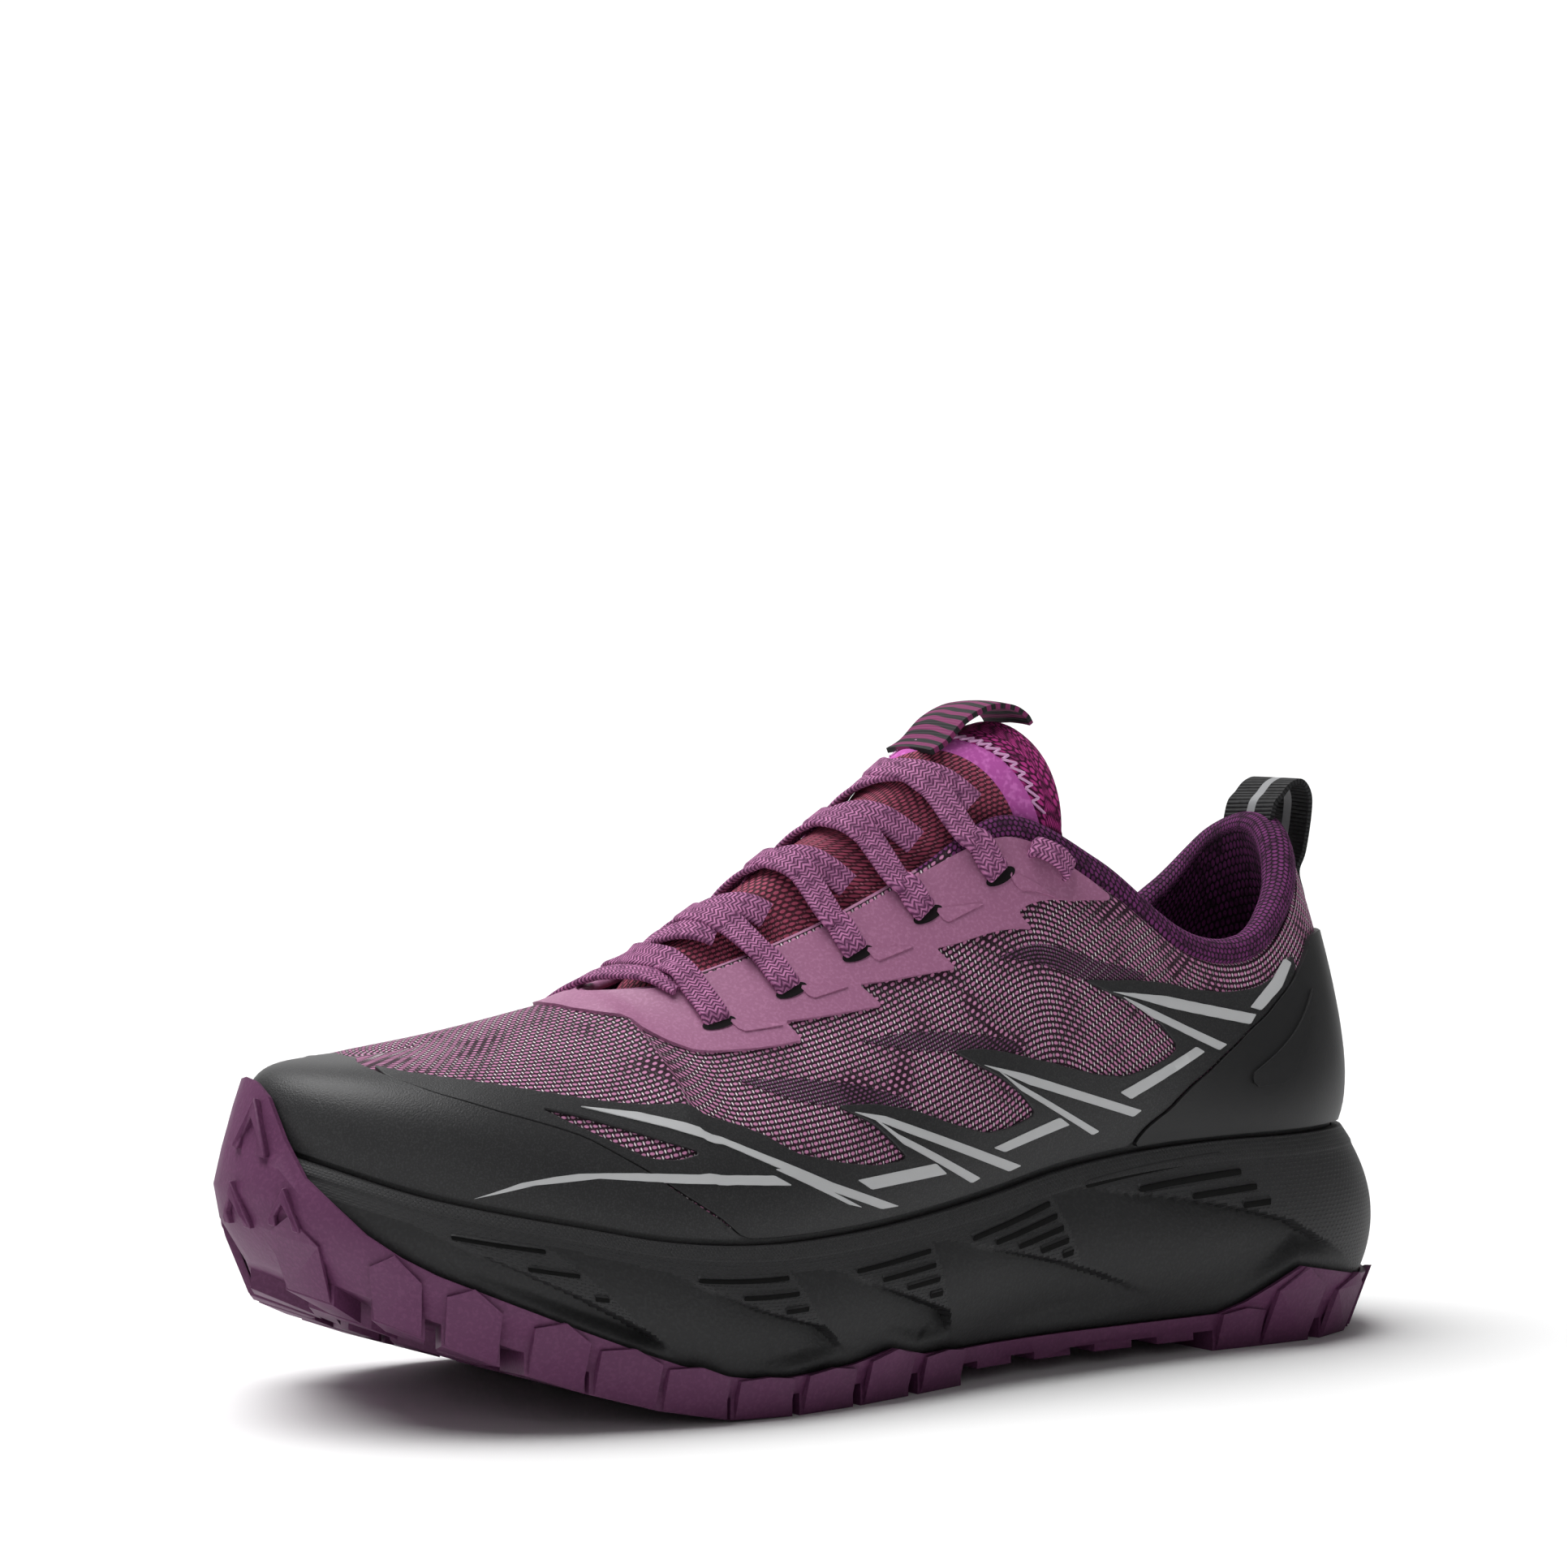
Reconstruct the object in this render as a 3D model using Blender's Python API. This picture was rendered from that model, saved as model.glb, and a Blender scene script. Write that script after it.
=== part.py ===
# Trail running shoe for the left foot: sole, upper, overlays, tongue, laces and loops.
# Metres, +Z up, toe towards +X, outer side of the foot towards +Y, standing on z = 0.
import math
from functools import lru_cache

import bmesh
import bpy
from mathutils import Vector
from mathutils.geometry import delaunay_2d_cdt

MM = 0.001

# Driving sizes of the shoe
SOLE_LENGTH = 288 * MM
BALL_WIDTH = 106 * MM
INSTEP_HEIGHT = 117.5 * MM
HEEL_HEIGHT = 117.5 * MM
RIM_HEIGHT = 46 * MM
TOE_SPRING = 33 * MM
HEEL_BEVEL = 3.5 * MM

# Walls and clearances
WALL = 2.4 * MM
COLLAR_PAD = 7 * MM
GAP = 0.3 * MM
CUP_DEPTH = 12 * MM
RIM_LIP = 2 * MM
INSOLE_THICKNESS = 4 * MM
FILM = 0.8 * MM
TOE_CAP_THICKNESS = 1 * MM
COUNTER_THICKNESS = 1.4 * MM
OVERLAY_SPACING = 5 * MM
OVERLAY_LIFT = 1.7 * GAP

# Outsole
PLATE = 2.2 * MM
LUG_DEPTH = 4.5 * MM
ARCH_LUG_DEPTH = 1.6 * MM
WRAP_THICKNESS = 1.6 * MM
WRAP_EDGE_THICKNESS = 1.1 * MM
WRAP_GAP = 0.5 * MM
LUG_PROUD = 1.2 * MM
LUG_REACH = 13 * MM
LUG_LENGTH = 15 * MM
HOUSE_LENGTH = .88
HOUSE_LIFT = 0.4 * MM

# Midsole side
FIN_DEPTH = 3.6 * MM
FIN_UNDERCUT = 0.9 * MM
GROOVE_DEPTH = 1.4 * MM
GROOVE_WIDTH = 1.3 * MM

# Tongue, laces and loops
TONGUE_THICKNESS = 3 * MM
TONGUE_PAD = 7 * MM
TONGUE_GAP = 0.5 * MM
LACE_WIDTH = 6.5 * MM
LACE_THICKNESS = 1.5 * MM
LACE_CLEARANCE = 0.9 * MM
SLOT_LENGTH = LACE_WIDTH + 2 * MM
SLOT_WIDTH = LACE_THICKNESS + 2 * MM
SLOT_DEPTH = 1.2 * MM
LOOP_WIDTH = 16 * MM
LOOP_THICKNESS = 1.2 * MM
HEEL_RADIUS = 42 * MM
TONGUE_LOOP_RADIUS = 60 * MM

# Sections of the shoe, from the heel's back (row 0) along the outer side to the toe
# (row 15), and the same rows back along the inner side. Each is a half plane that
# starts at a place on the last's centre line and is turned about +Z.
# along: share of SOLE_LENGTH; swing, base, belly, rim, edge: shares of BALL_WIDTH;
# rim_z: share of RIM_HEIGHT; top_z: share of the instep or heel height.
# lean, tilt: degrees from upright where the upper leaves the sole and at its top;
# low, high: how far it holds them, as shares of its height; pad: collar padding.
SECTION_COLUMNS = ("along", "swing", "turn", "base_out", "base_in", "belly_out", "belly_in",
                   "rim_out", "rim_in", "rim_z", "edge_out", "edge_in", "top_z",
                   "lean", "low", "tilt", "high", "pad")
SECTIONS = (
    (.146, 0, 180, .377, .377, .425, .425, .358, .358, 1.00, .259, .259, .977, 30, .20, 22, .35, 1),
    (.146, 0, 150, .382, .373, .434, .425, .363, .354, 1.00, .255, .255, .940, 28, .21, 20, .35, 1),
    (.146, 0, 120, .377, .363, .434, .415, .368, .354, 1.01, .255, .255, .830, 24, .26, 16, .35, 1),
    (.160, 0, 95, .363, .354, .434, .410, .373, .354, 1.01, .264, .259, .749, 20, .30, 14, .35, 1),
    (.215, 0, 90, .358, .340, .439, .410, .373, .354, 1.01, .269, .259, .770, 15, .30, 15, .35, 1),
    (.292, 0, 90, .358, .311, .439, .392, .377, .344, .99, .245, .236, .906, 10, .35, 18, .35, .9),
    (.368, 0, 90, .363, .292, .443, .377, .387, .340, .94, .189, .184, .996, 8, .33, 22, .35, .4),
    (.444, .005, 90, .382, .302, .458, .382, .410, .344, .86, .151, .151, .906, 6, .34, 33, .35, 0),
    (.521, .009, 90, .429, .340, .486, .406, .443, .368, .80, .142, .142, .826, 5, .34, 38, .36, 0),
    (.597, .009, 90, .476, .382, .519, .439, .476, .401, .765, .127, .127, .762, 5, .34, 45, .38, 0),
    (.674, .005, 90, .500, .410, .538, .462, .500, .425, .76, .094, .094, .711, 5, .33, 55, .34, 0),
    (.743, -.014, 89, .495, .420, .533, .472, .500, .439, .80, 0, 0, .677, 4, .30, 75, .33, 0),
    (.799, -.038, 84, .462, .406, .505, .462, .476, .434, .89, 0, 0, .643, 3, .36, 90, .42, 0),
    (.826, -.057, 62, .420, .370, .467, .415, .439, .392, 1.01, 0, 0, .623, 1, .42, 90, .58, 0),
    (.833, -.066, 32, .380, .294, .432, .341, .408, .317, 1.15, 0, 0, .616, -1, .46, 90, .70, 0),
    (.837, -.071, 0, .334, .334, .389, .389, .365, .365, 1.22, 0, 0, .614, -2, .47, 90, .74, 0),
)
TOE_ROW = len(SECTIONS) - 1
LOOP = 2 * TOE_ROW

# Mesh columns between each row and the next
COLUMN_STEPS = (3, 3, 3, 3, 2, 2, 2, 2, 2, 3, 3, 3, 3, 4, 4)

# Throat: where its sides start to close and where they meet, as shares of SOLE_LENGTH
THROAT_CLOSES = .660
THROAT_END = .705
CROWN_RADIUS = 17 * MM
RIDGE_SLOPE = .13

# Underside: where the heel bevel ends and the toe spring starts
BEVEL_END = .07
SPRING_START = .677
SPRING_POWER = 1.6

# Top edge of the rubber on the midsole's side: row place, share of the side's height.
# Past 1 it climbs the upper, as a share of the upper's own curve.
WRAP_EDGE = ((0, .10), (1, .12), (2, .17), (3, .28), (3.9, .035), (5, .03), (7.9, .035),
             (8.5, .15), (9.1, .06), (10, .035), (11, .11), (12, .21), (13, .34), (13.4, .45),
             (13.75, .72), (14, .88), (14.25, 1.05), (14.5, 1.2), (14.75, 1.26), (15, 1.27))

# Fins of the midsole's side, each a flat panel under the rim: row place and share of the
# side's height of its front tip, top corner, low corner and the end of its ridge
FIN_COLUMNS = ("tip", "top", "low", "end", "grooves")
FINS = (
    ((6.23, .92), (4.0, .955), (3.15, .54), (2.1, .24), 4),
    ((7.73, .81), (6.3, .895), (5.98, .43), (4.86, .17), 5),
    ((9.27, .78), (7.95, .825), (7.77, .345), (7.64, .12), 4),
    ((11.1, .775), (9.77, .805), (9.43, .39), (9.05, .13), 3),
    ((13.2, .74), (12.25, .815), (11.34, .315), (10.9, .13), 3),
)
ROW_PITCH = 22 * MM
SIDE_PITCH = 34 * MM
UPPER_PITCH = 60 * MM

# Lugs along the sole's edge, the same on both sides: row place of the centre, length as a
# share of LUG_LENGTH, and how high its peak stands on the side, as a share of its height.
# Those without a peak are the short ones under the arch.
EDGE_LUGS = ((.45, .85, .12), (1.3, .85, .15), (2.1, .85, .19), (2.95, 1, .27), (3.65, .9, .06),
             (4.5, .7, 0), (5.3, .7, 0), (6.1, .7, 0), (6.9, .7, 0),
             (7.7, .95, .06), (8.5, 1, .15), (9.28, 1, .08), (10.05, 1, .07), (10.8, 1, .12),
             (11.5, .9, .17), (12.12, .8, .24), (12.75, .75, .32), (13.3, .7, .42), (14.1, .8, .5))
# Rows of lugs across the sole: row place, whether lugs stand beside the arrow
CENTRE_LUGS = ((1.6, False), (2.6, False), (3.4, False), (4.15, False), (8, True), (8.75, True),
               (9.5, True), (10.25, True), (11, True), (11.7, True), (12.35, True), (13.2, False))
# Corners of the arrow and of the block beside it, as shares of LUG_LENGTH
ARROW = ((.33, 0), (-.2, -.75), (-.6, -.75), (-.1, 0), (-.6, .75), (-.2, .75))
BLOCK = ((.3, -.3), (-.1, -.45), (-.3, .3), (.1, .45))

# Sections of the tongue: row place; crest: height as a share of INSTEP_HEIGHT; flare:
# degrees from upright where it rises out of the upper; under: where on the upper's curve
# it does so; pad: share of its padding
TONGUE_COLUMNS = ("crest", "flare", "under", "pad")
TONGUE = (
    (5.2, (1.166, -18, 1, 1)),
    (5.6, (1.157, -12, 1, 1)),
    (6, (1.140, 0, 1, .9)),
    (6.5, (1.117, 15, 1, .6)),
    (7, (1.060, 28, 1, .2)),
    (7.5, (.998, 32, 1, 0)),
    (8, (.947, 36, 1, 0)),
    (9, (.835, 45, 1, 0)),
    (9.5, (.782, 50, 1, 0)),
    (9.8, (.738, 60, .97, 0)),
    (10.1, (.678, 72, .91, 0)),
    (10.5, (.615, 80, .83, 0)),
)

# Overlays on the upper, each an outline of (row place, share of the upper's curve); past 1
# the curve comes down the inner side. The heel counter and the toe cap run over the heel's
# and the toe's middle row, so half an outline is given and the rest is its mirror image.
HEM = .015
COUNTER_EDGE = ((0, .645), (1, .70), (1.7, .785), (2.2, .745), (2.73, .69), (3.31, .578),
                (3.79, .444), (4.29, .274), (4.62, .145), (4.97, .06), (5.08, HEM))
COUNTER_HEM = ((3, .034), (0, .038))
CAP_EDGE = ((10.2, HEM), (10.4, .06), (10.75, .13), (11.15, .215), (11.71, .30), (12.43, .365),
            (13, .44), (13.5, .54), (13.95, .66), (14.3, .775), (15, .80))
SIDE_TOP = ((13.75, .67), (13.3, .612), (12.5, .533), (11.96, .487), (11.56, .465),
            (11.09, .446), (10.57, .425), (9.98, .405), (9.74, .364), (9.47, .287), (8.91, .223),
            (8.5, .19), (8.1, .184), (8.46, .327), (8.83, .42), (8.39, .389), (7.94, .33),
            (7.48, .245), (7.06, .182), (6.72, .17), (6.36, .178), (6.57, .264), (6.82, .334),
            (7.05, .391), (7.29, .454), (6.95, .428), (6.69, .391), (6.32, .332), (5.9, .285),
            (5.54, .257), (5.18, .251), (4.85, .291), (4.59, .357), (4.43, .424), (4.66, .492),
            (4.92, .52), (5.22, .529), (5.55, .548), (5.19, .576), (4.78, .629), (4.34, .711),
            (3.88, .764), (3.36, .785), (2.98, .79), (2.68, .798), (2.2, .815))
SIDE_WINDOW = ((12.07, .41), (11.68, .39), (11.09, .345), (10.66, .295), (10.5, .27),
               (10.77, .255), (11.09, .262), (11.47, .31), (11.8, .355))
EYESTAY_LOW = ((5, .885), (5.47, .803), (6.02, .755), (6.15, .738), (6.03, .685), (6.5, .72),
               (7.11, .761), (6.97, .678), (7.53, .722), (8.04, .767), (7.89, .673), (8.44, .711),
               (8.96, .745), (8.88, .664), (9.38, .675), (9.99, .698), (10.2, .72),
               (10.45, .765), (10.62, .82), (10.78, .89), (10.86, 1))
EYESTAY_REAR = ((6.9, .985), (6.4, .962), (5.9, .945), (5.4, .93), (5, .905))
THROAT_MARGIN = .015

# Lace, a row for each bar: row place and height of its slots, where it crosses the tongue's
# crest, and where the run below it ends at the throat's outer and inner side
LACES = (
    (9.59, .804, 9.72, 8.86, 9.98),
    (8.75, .846, 9.15, 8.40, 9.60),
    (7.93, .869, 8.28, 7.58, 8.95),
    (7.08, .875, 7.60, 6.77, 8.30),
    (6.25, .861, 6.88, 6.15, 7.75),
)
# The front run: where it ends, and how far it bows towards the toe between its ends
FRONT_RUN = (9.6, 9.6, .28)
# How far the runs reach from the crest to the throat's sides, from the front run to the top
RUN_ENDS = (.45, .5, .64, .8, .8, .8)
TOP_HOLES = ((5.80, .925), (5.47, .895))

# Centre lines (x, z) of the loops' free runs, in shares of SOLE_LENGTH and of HEEL_HEIGHT or
# INSTEP_HEIGHT
HEEL_LOOP_RUN = ((.026, .915), (.0205, .985), (.0205, 1.027), (.029, 1.052), (.041, 1.045),
                 (.050, 1.025), (.0575, 1.0075))
HEEL_LOOP_SEAM = (.68, .76, .83)
TONGUE_LOOP_RUN = ((.408, 1.1255), (.394, 1.143), (.375, 1.183), (.351, 1.208), (.330, 1.208),
                   (.3165, 1.193), (.311, 1.176))


def entry(name, k):
    """The value of a column at row k of the loop; the inner side counts on past the toe."""
    k = k % LOOP
    inner = k > TOE_ROW
    row = SECTIONS[LOOP - k if inner else k]
    if name + "_in" in SECTION_COLUMNS:
        name += "_in" if inner else "_out"
    return row[SECTION_COLUMNS.index(name)]


def turn_entry(k):
    """The turn of row k, running on from 180 at the heel to -180 without a jump."""
    if k < 0:
        return 360 - turn_entry(-k)
    if k > TOE_ROW:
        return -turn_entry(LOOP - k)
    return SECTIONS[k][SECTION_COLUMNS.index("turn")]


@lru_cache(maxsize=None)
def read(name, u):
    """A column at place u along the loop, on a smooth curve through its rows."""
    k = math.floor(u)
    t = u - k
    get = turn_entry if name == "turn" else (lambda i: entry(name, i))
    a, b, c, d = (get(k + j) for j in (-1, 0, 1, 2))
    return b + .5 * t * (c - a + t * (2 * a - 5 * b + 4 * c - d + t * (3 * (b - c) + d - a)))


def smooth(t):
    t = min(max(t, 0), 1)
    return t * t * (3 - 2 * t)


def along_table(table, u):
    """A value from a table of (place, value), in straight runs."""
    for (u0, a), (u1, b) in zip(table, table[1:]):
        if u <= u1:
            return a + (b - a) * (u - u0) / (u1 - u0)
    return table[-1][1]


def curve_table(table, columns, name, u):
    """A named column of a table of (place, values), on a smooth curve through its rows."""
    i = columns.index(name)
    rows = [(place_, values[i]) for place_, values in table]
    k = max(0, min(len(rows) - 2, sum(u >= r[0] for r in rows) - 1))

    def slope(j):
        a, b = rows[max(j - 1, 0)], rows[min(j + 1, len(rows) - 1)]
        return (b[1] - a[1]) / (b[0] - a[0])

    (u0, a), (u1, b) = rows[k], rows[k + 1]
    h = u1 - u0
    t = (u - u0) / h
    return (a * (1 + 2 * t) * (1 - t) ** 2 + b * t * t * (3 - 2 * t)
            + h * t * (1 - t) * (slope(k) * (1 - t) - slope(k + 1) * t))


def one_side(u):
    """The place on the outer side that mirrors u, from 0 at the heel to TOE_ROW."""
    u = u % LOOP
    return min(u, LOOP - u)


def place(u, reach, height):
    """A point of the half plane at u."""
    angle = math.radians(read("turn", u))
    return Vector((read("along", u) * SOLE_LENGTH + reach * math.cos(angle),
                   read("swing", u) * BALL_WIDTH + reach * math.sin(angle), height))


def half_columns(extra=()):
    """Places of the mesh columns from heel to toe."""
    places = [k + i / n for k, n in enumerate(COLUMN_STEPS) for i in range(n)] + [TOE_ROW]
    kept = [u for u in places if all(abs(u - e) > .12 for e in extra)]
    return sorted(kept + list(extra))


def whole_loop(half):
    return half + [LOOP - u for u in half[-2:0:-1]]


# Heights of the underside

def ground(x):
    """Height of the lugs' underside at x from the heel's back."""
    bevel_end = BEVEL_END * SOLE_LENGTH
    spring_start = SPRING_START * SOLE_LENGTH
    if x < bevel_end:
        return HEEL_BEVEL * ((bevel_end - x) / bevel_end) ** 2
    if x > spring_start:
        return TOE_SPRING * ((x - spring_start) / (SOLE_LENGTH - spring_start)) ** SPRING_POWER
    return 0


def base_reach(u):
    return read("base", u) * BALL_WIDTH


def base_height(u):
    """Height of the midsole's bottom edge."""
    return ground(place(u, base_reach(u), 0).x) + LUG_DEPTH + PLATE + GAP


def rim_height(u):
    return read("rim_z", u) * RIM_HEIGHT


def rim_reach(u):
    return read("rim", u) * BALL_WIDTH


def side_point(u, q, inward=0, up=0):
    """A point of the midsole's side: q is 0 at its bottom edge and 1 at the rim."""
    base, belly, rim = (read(name, u) * BALL_WIDTH for name in ("base", "belly", "rim"))
    reach = base * (1 - q) * (1 - 2 * q) + 4 * belly * q * (1 - q) + rim * q * (2 * q - 1)
    low = base_height(u)
    return place(u, reach - inward, low + q * (rim_height(u) - low) + up)


# The upper's outer face

def bite_reach(u):
    return rim_reach(u) - RIM_LIP


def bite_height(u):
    return rim_height(u) + GAP


@lru_cache(maxsize=None)
def throat_closing(u):
    """1 where the throat is open, falling on an ellipse to 0 where its sides meet."""
    share = (read("along", u) - THROAT_CLOSES) / (THROAT_END - THROAT_CLOSES)
    if share <= 0:
        return 1
    return math.sqrt(1 - share * share) if share < 1 else 0


@lru_cache(maxsize=None)
def throat_end_place():
    """Place of the column where the throat's sides meet."""
    low, high = 9.0, 12.0
    for _ in range(50):
        mid = (low + high) / 2
        if read("along", mid) < THROAT_END:
            low = mid
        else:
            high = mid
    return round(low, 6)


@lru_cache(maxsize=None)
def upper_curve(u):
    """Four control points (reach, height) of the upper's section at u."""
    open_edge = max(read("edge", u), 0) * BALL_WIDTH
    closing = throat_closing(u)
    edge = open_edge * closing
    heel = smooth((5 - one_side(u)) / 2)
    top = read("top_z", u) * (INSTEP_HEIGHT + heel * (HEEL_HEIGHT - INSTEP_HEIGHT))
    top += (open_edge ** 2 - edge ** 2) / (2 * CROWN_RADIUS)
    start = (bite_reach(u), bite_height(u))
    length = math.hypot(edge - start[0], top - start[1])
    lean = math.radians(read("lean", u))
    tilt = math.radians(90 - (90 - read("tilt", u)) * closing)
    slope = RIDGE_SLOPE * math.cos(math.radians(read("turn", u))) * (1 - closing)
    low = read("low", u) * length
    high = read("high", u) * length
    return (start, (start[0] + low * math.sin(lean), start[1] + low * math.cos(lean)),
            (edge + high * math.sin(tilt), top - high * (math.cos(tilt) + slope)), (edge, top))


@lru_cache(maxsize=None)
def upper_point(u, v):
    """A point of the upper's outer face: v is 0 at the sole and 1 at the top edge or the
    ridge; past 1 it goes down the other side."""
    if v > 1:
        u, v = LOOP - u, 2 - v
    p = upper_curve(u)
    w = ((1 - v) ** 3, 3 * v * (1 - v) ** 2, 3 * v * v * (1 - v), v ** 3)
    return place(u, sum(a * b[0] for a, b in zip(w, p)), sum(a * b[1] for a, b in zip(w, p)))


@lru_cache(maxsize=None)
def upper_normal(u, v):
    """The outward direction there."""
    step = .004
    closed = throat_closing(u) == 0
    v_high = v + step if closed or v + step <= 1 or v > 1 else v
    v_low = v - step if closed or v - step >= 1 or v < 1 or v == 1 else v
    if v < step:
        v_low = v
    across = upper_point(u, v_high) - upper_point(u, v_low)
    forward = upper_point(u + step, v) - upper_point(u - step, v)
    normal = across.cross(forward)
    if v > 1:
        normal = across.cross(-forward) if u % LOOP > TOE_ROW else normal
    if normal.length < 1e-15:
        normal = upper_normal(u, v - .03)
    return normal.normalized()


def wall_at(u, v):
    """Thickness of the upper's wall: plain, growing to the collar's padding."""
    return WALL + (COLLAR_PAD - WALL) * max(read("pad", u), 0) * smooth((v - .45) / .45)


def skin(u, v, lift):
    """A point off the upper's outer face."""
    return upper_point(u, v) + upper_normal(u, v) * lift


# Mesh helpers

def strip(bm, a, b, closed=True):
    """Faces between two rows of vertices."""
    for i in range(len(a) if closed else len(a) - 1):
        j = (i + 1) % len(a)
        ring = list(dict.fromkeys((a[i], a[j], b[j], b[i])))
        if len(ring) > 2:
            bm.faces.new(ring)


def across(bm, ring):
    """Closes a loop with strips from its outer side to its inner side."""
    half = len(ring) // 2
    for i in range(half):
        quad = (ring[i], ring[i + 1], ring[-i - 1], ring[-i % len(ring)])
        face = list(dict.fromkeys(quad))
        if len(face) > 2:
            bm.faces.new(face)


def add_row(bm, points):
    return [bm.verts.new(p) for p in points]


def srgb(hex_value):
    parts = [int(hex_value[i:i + 2], 16) / 255 for i in (0, 2, 4)]
    return [c / 12.92 if c <= .04045 else ((c + .055) / 1.055) ** 2.4 for c in parts] + [1]


def material(name, colour, roughness):
    made = bpy.data.materials.get(name)
    if made is None:
        made = bpy.data.materials.new(name)
        made.use_nodes = True
        shader = made.node_tree.nodes["Principled BSDF"]
        shader.inputs["Base Color"].default_value = srgb(colour)
        shader.inputs["Roughness"].default_value = roughness
        shader.inputs["Metallic"].default_value = 0
    return made


def solid(name, bm, finish):
    """Welds a mesh, turns its faces outwards and makes it an object."""
    bmesh.ops.remove_doubles(bm, verts=bm.verts, dist=.004 * MM)
    bmesh.ops.triangulate(bm, faces=bm.faces)
    bmesh.ops.recalc_face_normals(bm, faces=bm.faces)
    mesh = bpy.data.meshes.new(name)
    bm.to_mesh(mesh)
    bm.free()
    mesh.shade_smooth()
    mesh.set_sharp_from_angle(angle=math.radians(35))
    mesh.materials.append(finish)
    made = bpy.data.objects.new(name, mesh)
    bpy.context.collection.objects.link(made)
    return made


def cutter(name, bm):
    """A solid that only shapes others."""
    made = solid(name, bm, material("guide", "808080", .5))
    made.hide_render = True
    made.display_type = "WIRE"
    return made


def combine(target, operand, operation):
    modifier = target.modifiers.new(operand.name, "BOOLEAN")
    modifier.operation = operation
    modifier.object = operand
    modifier.solver = "EXACT"
    modifier.use_self = True


# Midsole

def metric(u, q):
    """Place and height share as lengths, for distances on the midsole's side."""
    return Vector((u * ROW_PITCH, q * SIDE_PITCH))


def fin_parts():
    """Each fin with its named corners, its step line, the crest ahead and its band."""
    fins = [dict(zip(FIN_COLUMNS, row)) for row in FINS]
    for fin, ahead in zip(fins, fins[1:] + [None]):
        fin["step"] = [metric(*fin[k]) for k in ("tip", "low", "end")]
        if ahead:
            fin["crest"] = [metric(*ahead[k]) for k in ("top", "low", "end")]
        else:
            fin["crest"] = [metric(TOE_ROW, fin["tip"][1]), metric(TOE_ROW, 0)]
        below = [metric(fin["end"][0], -.1), Vector((fin["crest"][-1].x, metric(0, -.1).y))]
        fin["band"] = fin["step"] + below + fin["crest"][::-1]
    return fins


def inside(point, polygon):
    hit = False
    for a, b in zip(polygon, polygon[1:] + polygon[:1]):
        if (a.y > point.y) != (b.y > point.y):
            if point.x < a.x + (point.y - a.y) / (b.y - a.y) * (b.x - a.x):
                hit = not hit
    return hit


def nearest(point, line):
    """Distance from a point to a line of several runs, and how far along it that is."""
    total = sum((b - a).length for a, b in zip(line, line[1:]))
    best, run = (1e9, 0), 0
    for a, b in zip(line, line[1:]):
        length = (b - a).length
        t = min(max((point - a).dot(b - a) / length ** 2, 0), 1)
        best = min(best, ((a + (b - a) * t - point).length, (run + t * length) / total))
        run += length
    return best


def step_depth(fin, share):
    """Depth of the step under a fin: none at its tip, full at its low corner."""
    lengths = [(b - a).length for a, b in zip(fin["step"], fin["step"][1:])]
    corner = lengths[0] / sum(lengths)
    fade = share / corner if share < corner else (1 - share) / (1 - corner)
    return FIN_DEPTH * smooth(fade)


def band_depth(fin, point):
    """How far the smooth band under a fin lies inside the side's plain face."""
    to_step, share = nearest(point, fin["step"])
    to_crest = nearest(point, fin["crest"])[0]
    near = to_crest / max(to_step + to_crest, 1e-9)
    u, q = point.x / ROW_PITCH, point.y / SIDE_PITCH
    clear = smooth((q - along_table(WRAP_EDGE, u) - .03) / .15)
    return step_depth(fin, share) * near ** 1.6 * clear


def walk(points, spacing, closed=False):
    """Points along straight runs, no further apart than the spacing."""
    out = []
    ends = points[1:] + points[:1] if closed else points[1:]
    for a, b in zip(points, ends):
        n = max(1, math.ceil((b - a).length / spacing))
        out += [a + (b - a) * (i / n) for i in range(n)]
    return out if closed else out + [points[-1]]


def groove_lines(fin):
    """Centre lines of a fin's grooves: along its top edge, ever shorter to its low corner."""
    tip, top, low = (metric(*fin[k]) for k in ("tip", "top", "low"))
    for k in range(fin["grooves"]):
        share = .08 + k * .84 / fin["grooves"]
        front = tip + (low - tip) * share
        back = top + (low - top) * share
        inset = (front - back).normalized() * 1.6 * MM
        yield front - inset * 2, back + inset


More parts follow.
